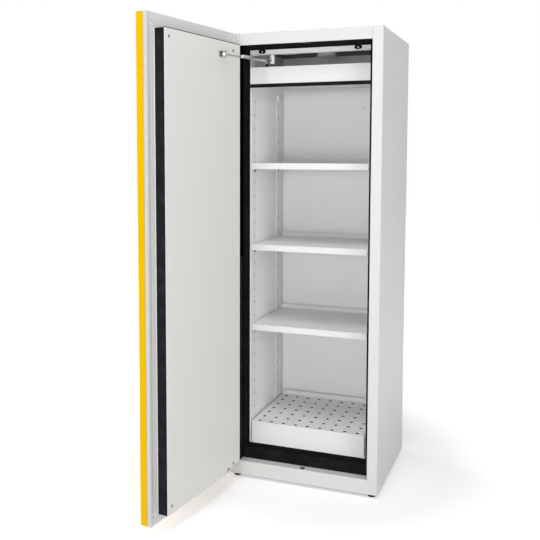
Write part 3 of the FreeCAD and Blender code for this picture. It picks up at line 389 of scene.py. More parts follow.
@dataclass(frozen=True)
class ExtrudedStrip(Finish):
    """Black heat-expanding strip with drawn lines and a dry bloom."""

    lines: tuple[float, float, float] = (900.0, 900.0, 6.0)

    def draw(self, graph: Graph) -> Made:
        """Draws lines along the strip and a bloom."""
        drawn = graph.noise(1.0, 2.0, self.lines)
        bloom = graph.ramp(graph.noise(22.0, 5.0), 0.42, 0.75)
        pale = tuple(part * 1.9 + 0.002 for part in self.colour)
        tint = graph.blend(bloom, self.colour, pale)
        normal = graph.bump(drawn + graph.noise(1400.0) * 0.5, 0.00004,
                            graph.rounded(self.bend))
        return graph.surface(Base_Color=tint, Roughness=self.roughness + drawn * 0.12,
                             Normal=normal)


@dataclass(frozen=True)
class PlatedSteel(Finish):
    """Bright zinc plate: cloudy, with fine drawn scratches."""

    stretch: tuple[float, float, float] = (30.0, 30.0, 700.0)

    def draw(self, graph: Graph) -> Made:
        """Draws clouds, scratches and a warm cast in places."""
        clouds = graph.noise(60.0, 4.0)
        scratch = graph.noise(1.0, 3.0, self.stretch)
        warm = tuple(part * shade for part, shade in zip(self.colour, (0.96, 0.93, 0.84)))
        tint = graph.blend(graph.ramp(clouds, 0.4, 0.72), self.colour, warm)
        gloss = self.roughness + clouds * 0.12 + scratch * 0.08
        normal = graph.bump(scratch, 0.00002, graph.rounded(self.bend * 0.4))
        return graph.surface(Base_Color=tint, Metallic=1.0, Roughness=gloss, Normal=normal)


@dataclass(frozen=True)
class Galvanised(Finish):
    """Hot-dip coat with crystal spangles."""

    spangle: float = 130.0

    def draw(self, graph: Graph) -> Made:
        """Draws the spangles in colour and gloss."""
        cells = graph.node("ShaderNodeTexVoronoi", {"feature": "F1"},
                           {"Vector": graph.place(), "Scale": self.spangle})
        tone = graph.node("ShaderNodeSeparateColor", None, [cells.out("Color")]).out("Red")
        dark = tuple(part * 0.72 for part in self.colour)
        tint = graph.blend(tone, dark, self.colour)
        gloss = self.roughness + tone * 0.22
        normal = graph.bump(tone, 0.00002, graph.rounded(self.bend * 0.5))
        return graph.surface(Base_Color=tint, Metallic=1.0, Roughness=gloss, Normal=normal)


@dataclass(frozen=True)
class Moulded(Finish):
    """Moulded plastic or rubber with a fine spark-eroded grain."""

    grain: float = 1600.0
    depth: float = 0.00003

    def draw(self, graph: Graph) -> Made:
        """Draws the grain."""
        grain = graph.noise(self.grain, 3.0)
        gloss = self.roughness + (graph.noise(50.0, 3.0) - 0.5) * 0.14
        normal = graph.bump(grain, self.depth, graph.rounded(self.bend * 0.5))
        return graph.surface(Base_Color=self.tinted(graph, 0.05, 30.0), Roughness=gloss,
                             Normal=normal)


@dataclass(frozen=True)
class Turned(Finish):
    """Turned brass with rings and a light tarnish."""

    def draw(self, graph: Graph) -> Made:
        """Draws tarnish and tool marks."""
        rings = graph.noise(1.0, 2.0, (1800.0, 40.0, 1800.0))
        tarnish = graph.ramp(graph.noise(120.0, 4.0), 0.45, 0.8)
        brown = tuple(part * 0.55 for part in self.colour)
        tint = graph.blend(tarnish, self.colour, brown)
        normal = graph.bump(rings, 0.00002, graph.rounded(self.bend * 0.3))
        return graph.surface(Base_Color=tint, Metallic=1.0,
                             Roughness=self.roughness + tarnish * 0.25, Normal=normal)


@dataclass(frozen=True)
class MineralBoard(Finish):
    """Rough fibre board of the fire insulation."""

    def draw(self, graph: Graph) -> Made:
        """Draws fibres and pores."""
        fibre = graph.noise(1.0, 5.0, (260.0, 260.0, 40.0))
        dark = tuple(part * 0.7 for part in self.colour)
        tint = graph.blend(graph.ramp(fibre, 0.35, 0.7), dark, self.colour)
        normal = graph.bump(fibre, 0.0006)
        return graph.surface(Base_Color=tint, Roughness=0.9, Normal=normal)


LIGHT_GREY = PowderCoat("light_grey_coat", srgb(220, 221, 219), 0.40)
PANEL_GREY = PowderCoat("door_panel_coat", srgb(229, 230, 226), 0.44)
INTERIOR_WHITE = PowderCoat("interior_coat", srgb(232, 233, 232), 0.38)
YELLOW = PowderCoat("safety_yellow_coat", srgb(250, 198, 0), 0.36, 0.08)
LINING = CoatedBoard("lining_laminate", srgb(240, 241, 240), 0.45)
# Dark grey on the ceiling board is painted shade: the plenum ceiling is dark because little
# light reaches it.
SHADED_CEILING = CoatedBoard("ceiling_painted_shade", srgb(96, 97, 97), 0.5)
SEAL = ExtrudedStrip("expanding_seal", srgb(18, 19, 20), 0.5, 0.06)
EDGE_SEAL = ExtrudedStrip("door_edge_seal", srgb(26, 27, 30), 0.6, 0.08)
ZINC = PlatedSteel("zinc_plate", srgb(205, 207, 208), 0.22)
DULL_ZINC = PlatedSteel("dull_zinc_plate", srgb(160, 162, 163), 0.34)
GALVANISED = Galvanised("galvanised_sheet", srgb(196, 200, 203), 0.3)
WHITE_PLASTIC = Moulded("white_plastic", srgb(236, 236, 234), 0.35)
BLACK_PLASTIC = Moulded("black_plastic", srgb(24, 24, 26), 0.42, 0.2)
RUBBER = Moulded("black_rubber", srgb(18, 18, 19), 0.75, 0.1, grain=700.0, depth=0.00006)
BRASS = Turned("turned_brass", srgb(214, 178, 104), 0.28)
MINERAL = MineralBoard("mineral_board", srgb(206, 196, 176))
SEAM_GREY = Moulded("seam_sealant", srgb(132, 133, 131), 0.8, 0.1)
# Near-black for plates, collars and discs that paint the shade inside slots and holes; it is no
# colour of the metal.
HOLE_SHADE = Moulded("painted_hole_shade", srgb(26, 26, 27), 0.7, 0.1)


class Shape:
    """A mesh under construction, in metres, that becomes one piece of the cabinet."""

    def __init__(self) -> None:
        """Starts an empty mesh."""
        self.bm = bmesh.new()

    def _soften(self, edges: set, radius: float, segments: int) -> None:
        """Rounds edges by a radius."""
        bmesh.ops.bevel(self.bm, geom=list(edges), offset=radius, offset_type="OFFSET",
                        segments=segments, profile=0.5, affect="EDGES", material=-1,
                        clamp_overlap=True)

    def _place(self, old: set, turn: Matrix) -> "Shape":
        """Moves what was added last to its place.

        Args:
            old: Vertices that were there before, and stay.
            turn: Where the new ones go.

        Returns:
            The shape.
        """
        fresh = [vert for vert in self.bm.verts if vert not in old]
        bmesh.ops.transform(self.bm, matrix=turn, verts=fresh)
        return self

    def block(self, low: Point, high: Point, soften: float = 0.0, segments: int = 2,
              turn: Matrix = HERE) -> "Shape":
        """Adds a box with rounded edges.

        Args:
            low: Lowest corner.
            high: Highest corner.
            soften: Radius of the edges.
            segments: Facets of a rounded edge.
            turn: Where the box goes.

        Returns:
            The shape.
        """
        old = set(self.bm.verts)
        corners = bmesh.ops.create_cube(self.bm, size=1.0)["verts"]
        sizes = [b - a for a, b in zip(low, high)]
        middle = [(a + b) / 2 for a, b in zip(low, high)]
        bmesh.ops.scale(self.bm, vec=sizes, verts=corners)
        bmesh.ops.translate(self.bm, vec=middle, verts=corners)
        if soften:
            edges = {edge for vert in corners for edge in vert.link_edges}
            self._soften(edges, soften, segments)
        return self._place(old, turn)

    def both(self, low: Point, high: Point, soften: float = 0.0, segments: int = 2
             ) -> "Shape":
        """Adds a box on the right of the cabinet and its mirror image on the left.

        Args:
            low: Lowest corner of the right box.
            high: Highest corner of the right box.
            soften: Radius of the edges.
            segments: Facets of a rounded edge.

        Returns:
            The shape.
        """
        for side in Side:
            first, last = sorted((side.value * low[0], side.value * high[0]))
            self.block((first, *low[1:]), (last, *high[1:]), soften, segments)
        return self

    def spun(self, corners: Sequence[Corner], turn: Matrix = HERE, steps: int = 32) -> "Shape":
        """Adds a turned form about its own upright axis.

        Args:
            corners: Radius and height of each corner, from the axis or closed.
            turn: Where the form goes.
            steps: Facets round the axis.

        Returns:
            The shape.
        """
        old = set(self.bm.verts)
        verts = [self.bm.verts.new((radius, 0.0, height)) for radius, height in corners]
        edges = [self.bm.edges.new(pair) for pair in zip(verts, verts[1:])]
        if corners[0][0] > 0 and corners[-1][0] > 0:
            edges.append(self.bm.edges.new((verts[-1], verts[0])))
        bmesh.ops.spin(self.bm, geom=verts + edges, cent=(0, 0, 0), axis=(0, 0, 1),
                       angle=TURN, steps=steps, use_merge=True)
        return self._place(old, turn)

    def slab(self, outline: Sequence[Corner], thick: float, soften: float = 0.0,
             turn: Matrix = HERE, segments: int = 2) -> "Shape":
        """Adds a flat outline with a thickness, drawn in X and Y and raised along Z.

        Args:
            outline: Sequence[Corner] in turn.
            thick: Thickness.
            soften: Radius of the edges.
            turn: Where the slab goes.
            segments: Facets of a rounded edge.

        Returns:
            The shape.
        """
        old = set(self.bm.verts)
        verts = [self.bm.verts.new((a, b, 0.0)) for a, b in outline]
        face = self.bm.faces.new(verts)
        raised = bmesh.ops.extrude_face_region(self.bm, geom=[face])["geom"]
        tops = [item for item in raised if isinstance(item, bmesh.types.BMVert)]
        bmesh.ops.translate(self.bm, vec=(0, 0, thick), verts=tops)
        if soften:
            shortest = soften * 2.2
            edges = {edge for vert in verts + tops for edge in vert.link_edges
                     if edge.calc_length() > shortest}
            self._soften(edges, soften, segments)
        return self._place(old, turn)

    def bar(self, start: Point, end: Point, radius: float, steps: int = 10) -> "Shape":
        """Adds a straight round bar.

        Args:
            start: First end of its axis.
            end: Second end of its axis.
            radius: Radius of the bar.
            steps: Facets round the bar.

        Returns:
            The shape.
        """
        first, last = Vector(start), Vector(end)
        bmesh.ops.create_cone(self.bm, cap_ends=True, segments=steps, radius1=radius,
                              radius2=radius, depth=(last - first).length,
                              matrix=facing(last - first, (first + last) / 2))
        return self

    def done(self, name: str, finish: Finish, body: str, slot: str,
             replaces: Sequence[str] = (), sharp: float = 32.0) -> None:
        """Closes the mesh and hangs it on a body of the cabinet.

        Args:
            name: Name of the piece.
            finish: Its surface.
            body: Body that carries it.
            slot: The record's material slot; not used.
            replaces: Nodes that the piece stands for.
            sharp: Angle in degrees above which an edge stays sharp.
        """
        bmesh.ops.remove_doubles(self.bm, verts=self.bm.verts[:], dist=MERGE)
        bmesh.ops.recalc_face_normals(self.bm, faces=self.bm.faces[:])
        for face in self.bm.faces:
            face.smooth = True
        for edge in self.bm.edges:
            edge.smooth = (not edge.is_manifold
                           or edge.calc_face_angle(0.0) < math.radians(sharp))
        mesh = bpy.data.meshes.new(name)
        self.bm.to_mesh(mesh)
        self.bm.free()
        mesh.materials.append(finish.material())
        piece = bpy.data.objects.new(name, mesh)
        bpy.context.scene.collection.objects.link(piece)
        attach(piece, body)
        if replaces:
            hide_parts(*replaces)
        log.info("%s: %d faces on %s", name, len(mesh.polygons), body)


def profile(*corners: Corner, radius: float = 0.0, level: float = 0.0
            ) -> list[Corner]:
    """Turns corners in millimetres into corners in metres.

    Args:
        corners: Radius and height of each corner in millimetres.
        radius: Radius in metres that the radii are counted from.
        level: Height in metres that the heights are counted from.

    Returns:
        The corners in metres.
    """
    return [(radius + out * MM, level + up * MM) for out, up in corners]


def tube(inner: float, outer: float, low: float, high: float) -> list[Corner]:
    """Corners of a plain tube in metres, or of a rod where the inner radius is 0."""
    return [(inner, low), (outer, low), (outer, high), (inner, high)]


def oval(length: float, height: float, steps: int = 12) -> list[Corner]:
    """Outline of a flat-sided oval about the origin, long in X.

    Args:
        length: Whole length.
        height: Height, which is twice the radius of its ends.
        steps: Facets of each end.

    Returns:
        The corners in turn.
    """
    radius = height / 2
    reach = length / 2 - radius
    ends = ((reach, -math.pi / 2), (-reach, math.pi / 2))
    return [(middle + radius * math.cos(start + math.pi * place / steps),
             radius * math.sin(start + math.pi * place / steps))
            for middle, start in ends for place in range(steps + 1)]


def facing(direction: Point, place: Point) -> Matrix:
    """Carries the upright axis of a shape onto a direction at a place."""
    turn = Vector(direction).to_track_quat("Z", "Y").to_matrix().to_4x4()
    return Matrix.Translation(Vector(place)) @ turn


def centre(node: str) -> Vector:
    """Returns the middle of a node's box."""
    low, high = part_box(node)
    return (low + high) / 2


def upright(node: str) -> Matrix:
    """Carries a shape's upright axis to the middle of a node, with heights kept."""
    middle = centre(node)
    return Matrix.Translation((middle.x, middle.y, 0.0))


def joint(name: str) -> dict:
    """Returns the frame's joint of that name."""
    return next(item for item in frame["joints"] if item["name"] == name)


def dress(finish: Finish, *nodes: str) -> None:
    """Gives nodes of the frame their finish.

    Args:
        finish: The surface.
        nodes: Names of the nodes.
    """
    for name in nodes:
        item = frame["nodes"][name]
        if not item.material_slots:
            item.data.materials.append(finish.material())
        for slot in item.material_slots:
            slot.material = finish.material()
        log.info("%s: %s", name, finish.name)


@dataclass(frozen=True)
class Screw:
    """A small screw with a domed or flat head, drawn with its head up at the origin."""

    radius: float = 4.0 * MM
    head: float = 1.2 * MM
    drive: Drive = Drive.CROSS
    steps: int = 24

    def add(self, shape: Shape, turn: Matrix) -> None:
        """Adds the head with its recess.

        Args:
            shape: Mesh that takes the screw.
            turn: Place of the head's underside, with its axis outwards.
        """
        corners = [(0.0, 0.0), (self.radius, 0.0), (self.radius, self.head * 0.35),
                   (self.radius * 0.82, self.head * 0.82), (self.radius * 0.5, self.head)]
        if self.drive is Drive.PLAIN:
            shape.spun(corners + [(0.0, self.head * 1.06)], turn, self.steps)
            return
        dish = self.radius * 0.34
        corners += [(dish, self.head), (dish * 0.7, self.head * 0.25),
                    (0.0, self.head * 0.2)]
        shape.spun(corners, turn, self.steps)
        reach, half = self.radius * 0.5, dish * 0.28
        for angle in (0, math.pi / 2):
            shape.block((-reach, -half, self.head * 0.9), (reach, half, self.head * 1.01),
                        turn=turn @ Matrix.Rotation(angle, 4, "Z"))


@dataclass
class Leaf:
    """Axes of the door leaf: u from the hinge pin to the free edge, n inwards, z up."""

    hinge: Vector = field(init=False)
    angle: float = field(init=False)
    joint_name: str = "door_hinge"

    def __post_init__(self) -> None:
        """Reads the hinge from the frame."""
        pin = joint(self.joint_name)
        self.hinge = Vector((pin["pos_m"][0], pin["pos_m"][1], 0.0))
        self.angle = math.radians(-max(pin["range_deg"]))

    @property
    def matrix(self) -> Matrix:
        """Carries leaf axes to the cabinet's frame."""
        return Matrix.Translation(self.hinge) @ Matrix.Rotation(self.angle, 4, "Z")

    def at(self, u: float, n: float, z: float, outwards: bool = False) -> Matrix:
        """Place on the leaf whose upright axis points inwards, or outwards if asked."""
        return self.matrix @ facing((0, -1 if outwards else 1, 0), (u, n, z))


@dataclass
class Carcass:
    """Outer steel shell: side panels, plinth, roof with header, and back."""

    post: float = 41.5 * MM
    rivet: Screw = Screw(3.2 * MM, 1.1 * MM, Drive.PLAIN, 16)
    rivet_pitch: float = 150.0 * MM
    rivet_inset: float = 15.0 * MM
    seam: float = 0.9 * MM
    seam_depth: float = 0.05 * MM
    seam_rise: float = 0.2 * MM
    stud_share: float = 0.72
    stud_inset: float = 70.0 * MM

    def build(self) -> None:
        """Dresses the shell and adds what is fixed to it."""
        dress(LIGHT_GREY, "side_panel_left", "side_panel_right", "plinth", "roof_header",
              "back_panel")
        self.rivets()
        self.seams()
        self.earth_stud()

    def rivets(self) -> None:
        """Blind rivets down both rear flanges, seen from behind."""
        low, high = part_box("side_panel_right")
        across = high.x - self.rivet_inset
        count = round((high.z - low.z) / self.rivet_pitch)
        shape = Shape()
        for side in Side:
            for place in range(count):
                level = low.z + self.rivet_pitch * (place + 0.5)
                self.rivet.add(shape, facing((0, 1, 0), (side.value * across, high.y, level)))
        shape.done("back_rivets", DULL_ZINC, "cabinet", "zinc")

    def seams(self) -> None:
        """Thin joints between header, posts and plinth on the front."""
        low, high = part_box("plinth")
        roof_low, roof_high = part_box("roof_header")
        inner = roof_high.x - self.post
        half = self.seam / 2
        shape = Shape().both((inner - half, low.y - self.seam_depth, roof_low.z),
                             (inner + half, low.y + self.seam_rise, roof_high.z))
        for side in Side:
            start = Vector((side.value * high.x, low.y, low.z))
            run = Vector((side.value * inner, low.y, high.z)) - start
            turn = run.to_track_quat("X", "Y").to_matrix().to_4x4()
            shape.block((0, -self.seam_depth, -half), (run.length, self.seam_depth, half),
                        turn=Matrix.Translation(start) @ turn)
        shape.done("fold_seams", SEAM_GREY, "cabinet", "carcass_grey")

    def earth_stud(self) -> None:
        """Earthing stud with washer and nut on the roof."""
        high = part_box("roof_header")[1]
        place = Matrix.Translation((high.x * self.stud_share, high.y - self.stud_inset,
                                    high.z))
        washer = profile((0, 0), (9, 0), (9, 1), (0, 1))
        nut = profile((0, 1), (7.2, 1), (7.5, 2), (7.5, 5), (6.6, 6), (0, 6))
        stud = profile((0, 6), (3, 6), (3, 15), (2.3, 16), (0, 16))
        Shape().spun(washer, place).spun(nut, place, 6).spun(stud, place, 16).done(
            "earth_stud", BRASS, "cabinet", "brass")


@dataclass
class SealFrame:
    """Stepped black seal round the opening, with a soft smoke bead."""

    bead: float = 1.6 * MM
    bead_inset: float = 4 * MM
    bead_depth: float = 23 * MM
    bead_below: float = 5 * MM
    bead_above: float = 3 * MM
    opening: float = 287 * MM
    strip: float = 1.2 * MM
    soften: float = 0.2 * MM
    setback: float = 2 * MM
    sill_gap: float = 1 * MM
    bolt_gap: float = 14 * MM
    bolt_depth: float = 19 * MM
    ring: tuple[float, float] = (7.5 * MM, 15 * MM)

    def build(self) -> None:
        """Dresses the seal and adds the bead, the posts' strips and the bolt's ring."""
        dress(SEAL, "seal_left", "seal_right", "seal_bottom", "seal_top", "plenum_trim")
        self.smoke_bead()
        self.return_strips()
        self.bolt_ring()

    def smoke_bead(self) -> None:
        """Soft bead along the seal's second face."""
        low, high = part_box("seal_bottom")
        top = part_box("seal_top")[0].z
        edge = self.bead_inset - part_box("seal_left")[1].x
        face = low.y + self.bead_depth
        shape = Shape()
        for across in (-edge, edge):
            shape.bar((across, face, high.z), (across, face, top), self.bead)
        for level in (high.z - self.bead_below, top + self.bead_above):
            shape.bar((-edge, face, level), (edge, face, level), self.bead)
        shape.done("smoke_bead", RUBBER, "cabinet", "rubber")

    def return_strips(self) -> None:
        """Black strips on the inner faces of both posts and under the header."""
        front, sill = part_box("plinth")[0].y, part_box("plinth")[1].z
        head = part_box("roof_header")[0].z
        start, end = front + self.setback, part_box("seal_left")[0].y
        inner = self.opening - self.strip
        Shape().both((inner, start, sill + self.sill_gap), (self.opening, end, head),
                     self.soften, 1).both(
            (self.bolt_gap, start, head - self.strip), (inner, end, head),
            self.soften, 1).done("return_strips", SEAL, "cabinet", "seal_black")

    def bolt_ring(self) -> None:
        """Ring under the header round the upper bolt's hole."""
        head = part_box("roof_header")[0].z
        spot = Matrix.Translation((0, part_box("plinth")[0].y + self.bolt_depth, 0))
        Shape().spun(tube(*self.ring, head - self.strip, head), spot, 28).done(
            "bolt_ring", BLACK_PLASTIC, "cabinet", "black_plastic")


@dataclass
class Interior:
    """Lining, insulation behind it, and the shelf system."""

    columns: tuple[float, float] = (122 * MM, 447 * MM)
    first: float = 173 * MM
    spacing: float = 60 * MM
    count: int = 26
    taken: tuple[int, ...] = (8, 14, 20)
    slot: tuple[float, float] = (4.9 * MM, 10.8 * MM)
    hollow: tuple[float, float] = (0.1 * MM, 2.7 * MM)
    tie_run: tuple[float, float] = (137 * MM, 427 * MM)
    clip_spot: tuple[float, float] = (136 * MM, 1655 * MM)

    def build(self) -> None:
        """Dresses boards, strips, shelves and clips."""
        dress(LINING, "lining_left", "lining_right", "lining_rear", "lining_floor")
        # The ceiling board gets a dark grey that paints the plenum's shade.
        dress(SHADED_CEILING, "lining_ceiling")
        dress(MINERAL, "insulation_left", "insulation_right", "insulation_rear",
              "insulation_top", "insulation_bottom")
        dress(INTERIOR_WHITE, "upright_front_left", "upright_front_right",
              "upright_rear_left", "upright_rear_right", "shelf_lower", "shelf_middle",
              "shelf_upper", "plenum_fascia")
        dress(DULL_ZINC, "shelf_clips")
        self.slot_shade_plates()
        self.ties()
        self.wall_clip()

    def slot_shade_plates(self) -> None:
        """Dark plates in the free slots of the strips, which paint the shade inside the hollow
        channels.
        """
        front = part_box("plinth")[0].y
        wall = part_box("lining_right")[0].x
        near, deep = self.hollow
        wide, tall = (size / 2 for size in self.slot)
        # Each plate is painted shade: a dark sheet just inside a slot, where the channel behind
        # would be in shadow.
        shape = Shape()
        for column in self.columns:
            for number in set(range(self.count)) - set(self.taken):
                along, level = front + column, self.first + self.spacing * number
                shape.both((wall - deep, along - wide, level - tall),
                           (wall - near, along + wide, level + tall))
        shape.done("slot_shade_plates", HOLE_SHADE, "cabinet", "interior_white")

    def ties(self) -> None:
        """Flat ties that join the heads of the strips, with a hook at the rear."""
        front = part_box("plinth")[0].y
        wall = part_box("lining_right")[0].x
        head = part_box("upright_front_right")[1].z
        start, end = (front + reach for reach in self.tie_run)
        shape = Shape().both((wall - 2 * MM, start, head - 38 * MM),
                             (wall, end, head - 2 * MM), 0.5 * MM, 1)
        shape.both((wall - 10 * MM, end + 6 * MM, head - 32 * MM),
                   (wall - 3 * MM, end + 10 * MM, head - 4 * MM), 1.2 * MM)
        shape.done("strip_ties", INTERIOR_WHITE, "cabinet", "interior_white")

    def wall_clip(self) -> None:
        """White cable clip on the rear lining beside the upper shelf."""
        across, level = self.clip_spot
        place = Matrix.Translation((across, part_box("lining_rear")[0].y, level))
        shape = Shape().block((-4 * MM, -5 * MM, -7 * MM), (4 * MM, 0, 7 * MM), 1.2 * MM,
                              turn=place)
        shape.block((-2.5 * MM, -9 * MM, -3 * MM), (2.5 * MM, -5 * MM, 9 * MM), 1 * MM,
                    turn=place)
        shape.done("wall_clip", WHITE_PLASTIC, "cabinet", "white_plastic")


@dataclass
class Sump:
    """Sump tray and its perforated cover."""

    hole: float = 5.5 * MM
    columns: int = 9
    rows: int = 7
    across: float = 56 * MM
    along: float = 64.5 * MM
    margin: float = 17 * MM
    sheet: float = 1.5 * MM

    def build(self) -> None:
        """Dresses tray and cover, and sets dark collars in the holes that paint the shade inside
        them.
        """
        dress(INTERIOR_WHITE, "sump_tray", "sump_cover")
        middle = centre("sump_cover").x
        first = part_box("sump_cover")[0].y + self.margin
        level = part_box("sump_tray")[1].z + self.sheet
        # The deep dark collars are painted shade: they make the holes as dark as the shadowed
        # tray below would look.
        rim = profile((-0.6, -9), (-0.1, -9), (-0.1, 0.05), (1.9, 0.05), (1.6, 0.3),
                      (-0.6, 0.3), radius=self.hole)
        shape = Shape()
        for row in range(self.rows):
            for column in range(self.columns):
                across = middle + self.across * (column - (self.columns - 1) / 2)
                shape.spun(rim, Matrix.Translation((across, first + self.along * row, level)),
                           18)
        shape.done("hole_shade_collars", HOLE_SHADE, "tray_cover", "interior_white")


@dataclass
class Ventilation:
    """Roof spigots with their beads, screws and dampers, and the nozzles below them."""

    pipe: float = 37.5 * MM
    screw: Screw = Screw(3.0 * MM, 1.6 * MM)
    screws: int = 4
    screw_circle: float = 44.5 * MM
    flange: float = 1.5 * MM
    bead_inset: tuple[float, float] = (10 * MM, 6 * MM)
    drops: dict[str, float] = field(
        default_factory=lambda: {"exhaust": 33 * MM, "supply": 12 * MM})

    def build(self) -> None:
        """Dresses the spigots and adds beads, screws, nozzles and valve discs."""
        dress(GALVANISED, "exhaust_spigot", "supply_spigot", "exhaust_damper",
              "supply_damper")
        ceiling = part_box("lining_ceiling")[0].z
        for name, drop in self.drops.items():
            spot = upright(name + "_spigot")
            self.trim(name, spot)
            self.nozzle(name, spot, ceiling, ceiling - drop)
            self.valve(name, spot, ceiling - drop)

    def trim(self, name: str, spot: Matrix) -> None:
        """Adds the beads and screws of one spigot.

        Args:
            name: Exhaust or supply.
            spot: The spigot's axis.
        """
        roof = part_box("roof_header")[1].z
        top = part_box(name + "_spigot")[1].z
        shape = Shape()
        for level in (roof + self.bead_inset[0], top - self.bead_inset[1]):
            shape.spun(profile((-0.3, -2), (0.9, -1), (1.3, 0), (0.9, 1), (-0.3, 2),
                               radius=self.pipe, level=level), spot, 48)
        for place in range(self.screws):
            angle = TURN * (place + 0.5) / self.screws
            reach = Vector((math.cos(angle), math.sin(angle), 0)) * self.screw_circle
            self.screw.add(shape, facing((0, 0, 1), spot.translation + reach
                                         + Vector((0, 0, roof + self.flange))))
        shape.done(name + "_trim", GALVANISED, "cabinet", "galvanised")

    def nozzle(self, name: str, spot: Matrix, ceiling: float, lip: float) -> None:
        """Adds the flared ring under the ceiling.

        Args:
            name: Exhaust or supply.
            spot: The spigot's axis.
            ceiling: Level of the ceiling.
            lip: Level of the ring's lower edge.
        """
        corners = profile((0, 0), (9.5, 0), (9.5, -2.5), (4, -3.5), radius=self.pipe,
                          level=ceiling)
        corners += profile((4, 8), (9, 2), (8, 0), (-2, 0), (-2, 2), (0, 4),
                           radius=self.pipe, level=lip)
        # The white coat on the nozzle stands in for the bright reflection of a metal ring.
        Shape().spun(corners, spot, 56).done(name + "_nozzle", INTERIOR_WHITE, "cabinet",
                                             "interior_white")

    def valve(self, name: str, spot: Matrix, lip: float) -> None:
        """Adds the disc and its cross bars in the nozzle's mouth.

        Args:
            name: Exhaust or supply.
            spot: The spigot's axis.
            lip: Level of the nozzle's lower edge.
        """
        shape = Shape().spun(profile((0, -4), (7, -4), (8, -2), (24, -1), (27, 1), (26, 2.2),
                                     (5, 1), (5, 6), (0, 6), level=lip), spot, 48)
        for angle in (0, math.pi / 2):
            shape.block((-self.pipe, -1.5 * MM, lip + 4 * MM),
                        (self.pipe, 1.5 * MM, lip + 7 * MM),
                        turn=spot @ Matrix.Rotation(angle, 4, "Z"))
        # The valve disc is white as well, standing in for the bright reflection of a metal disc.
        shape.done(name + "_valve", INTERIOR_WHITE, "cabinet", "interior_white")


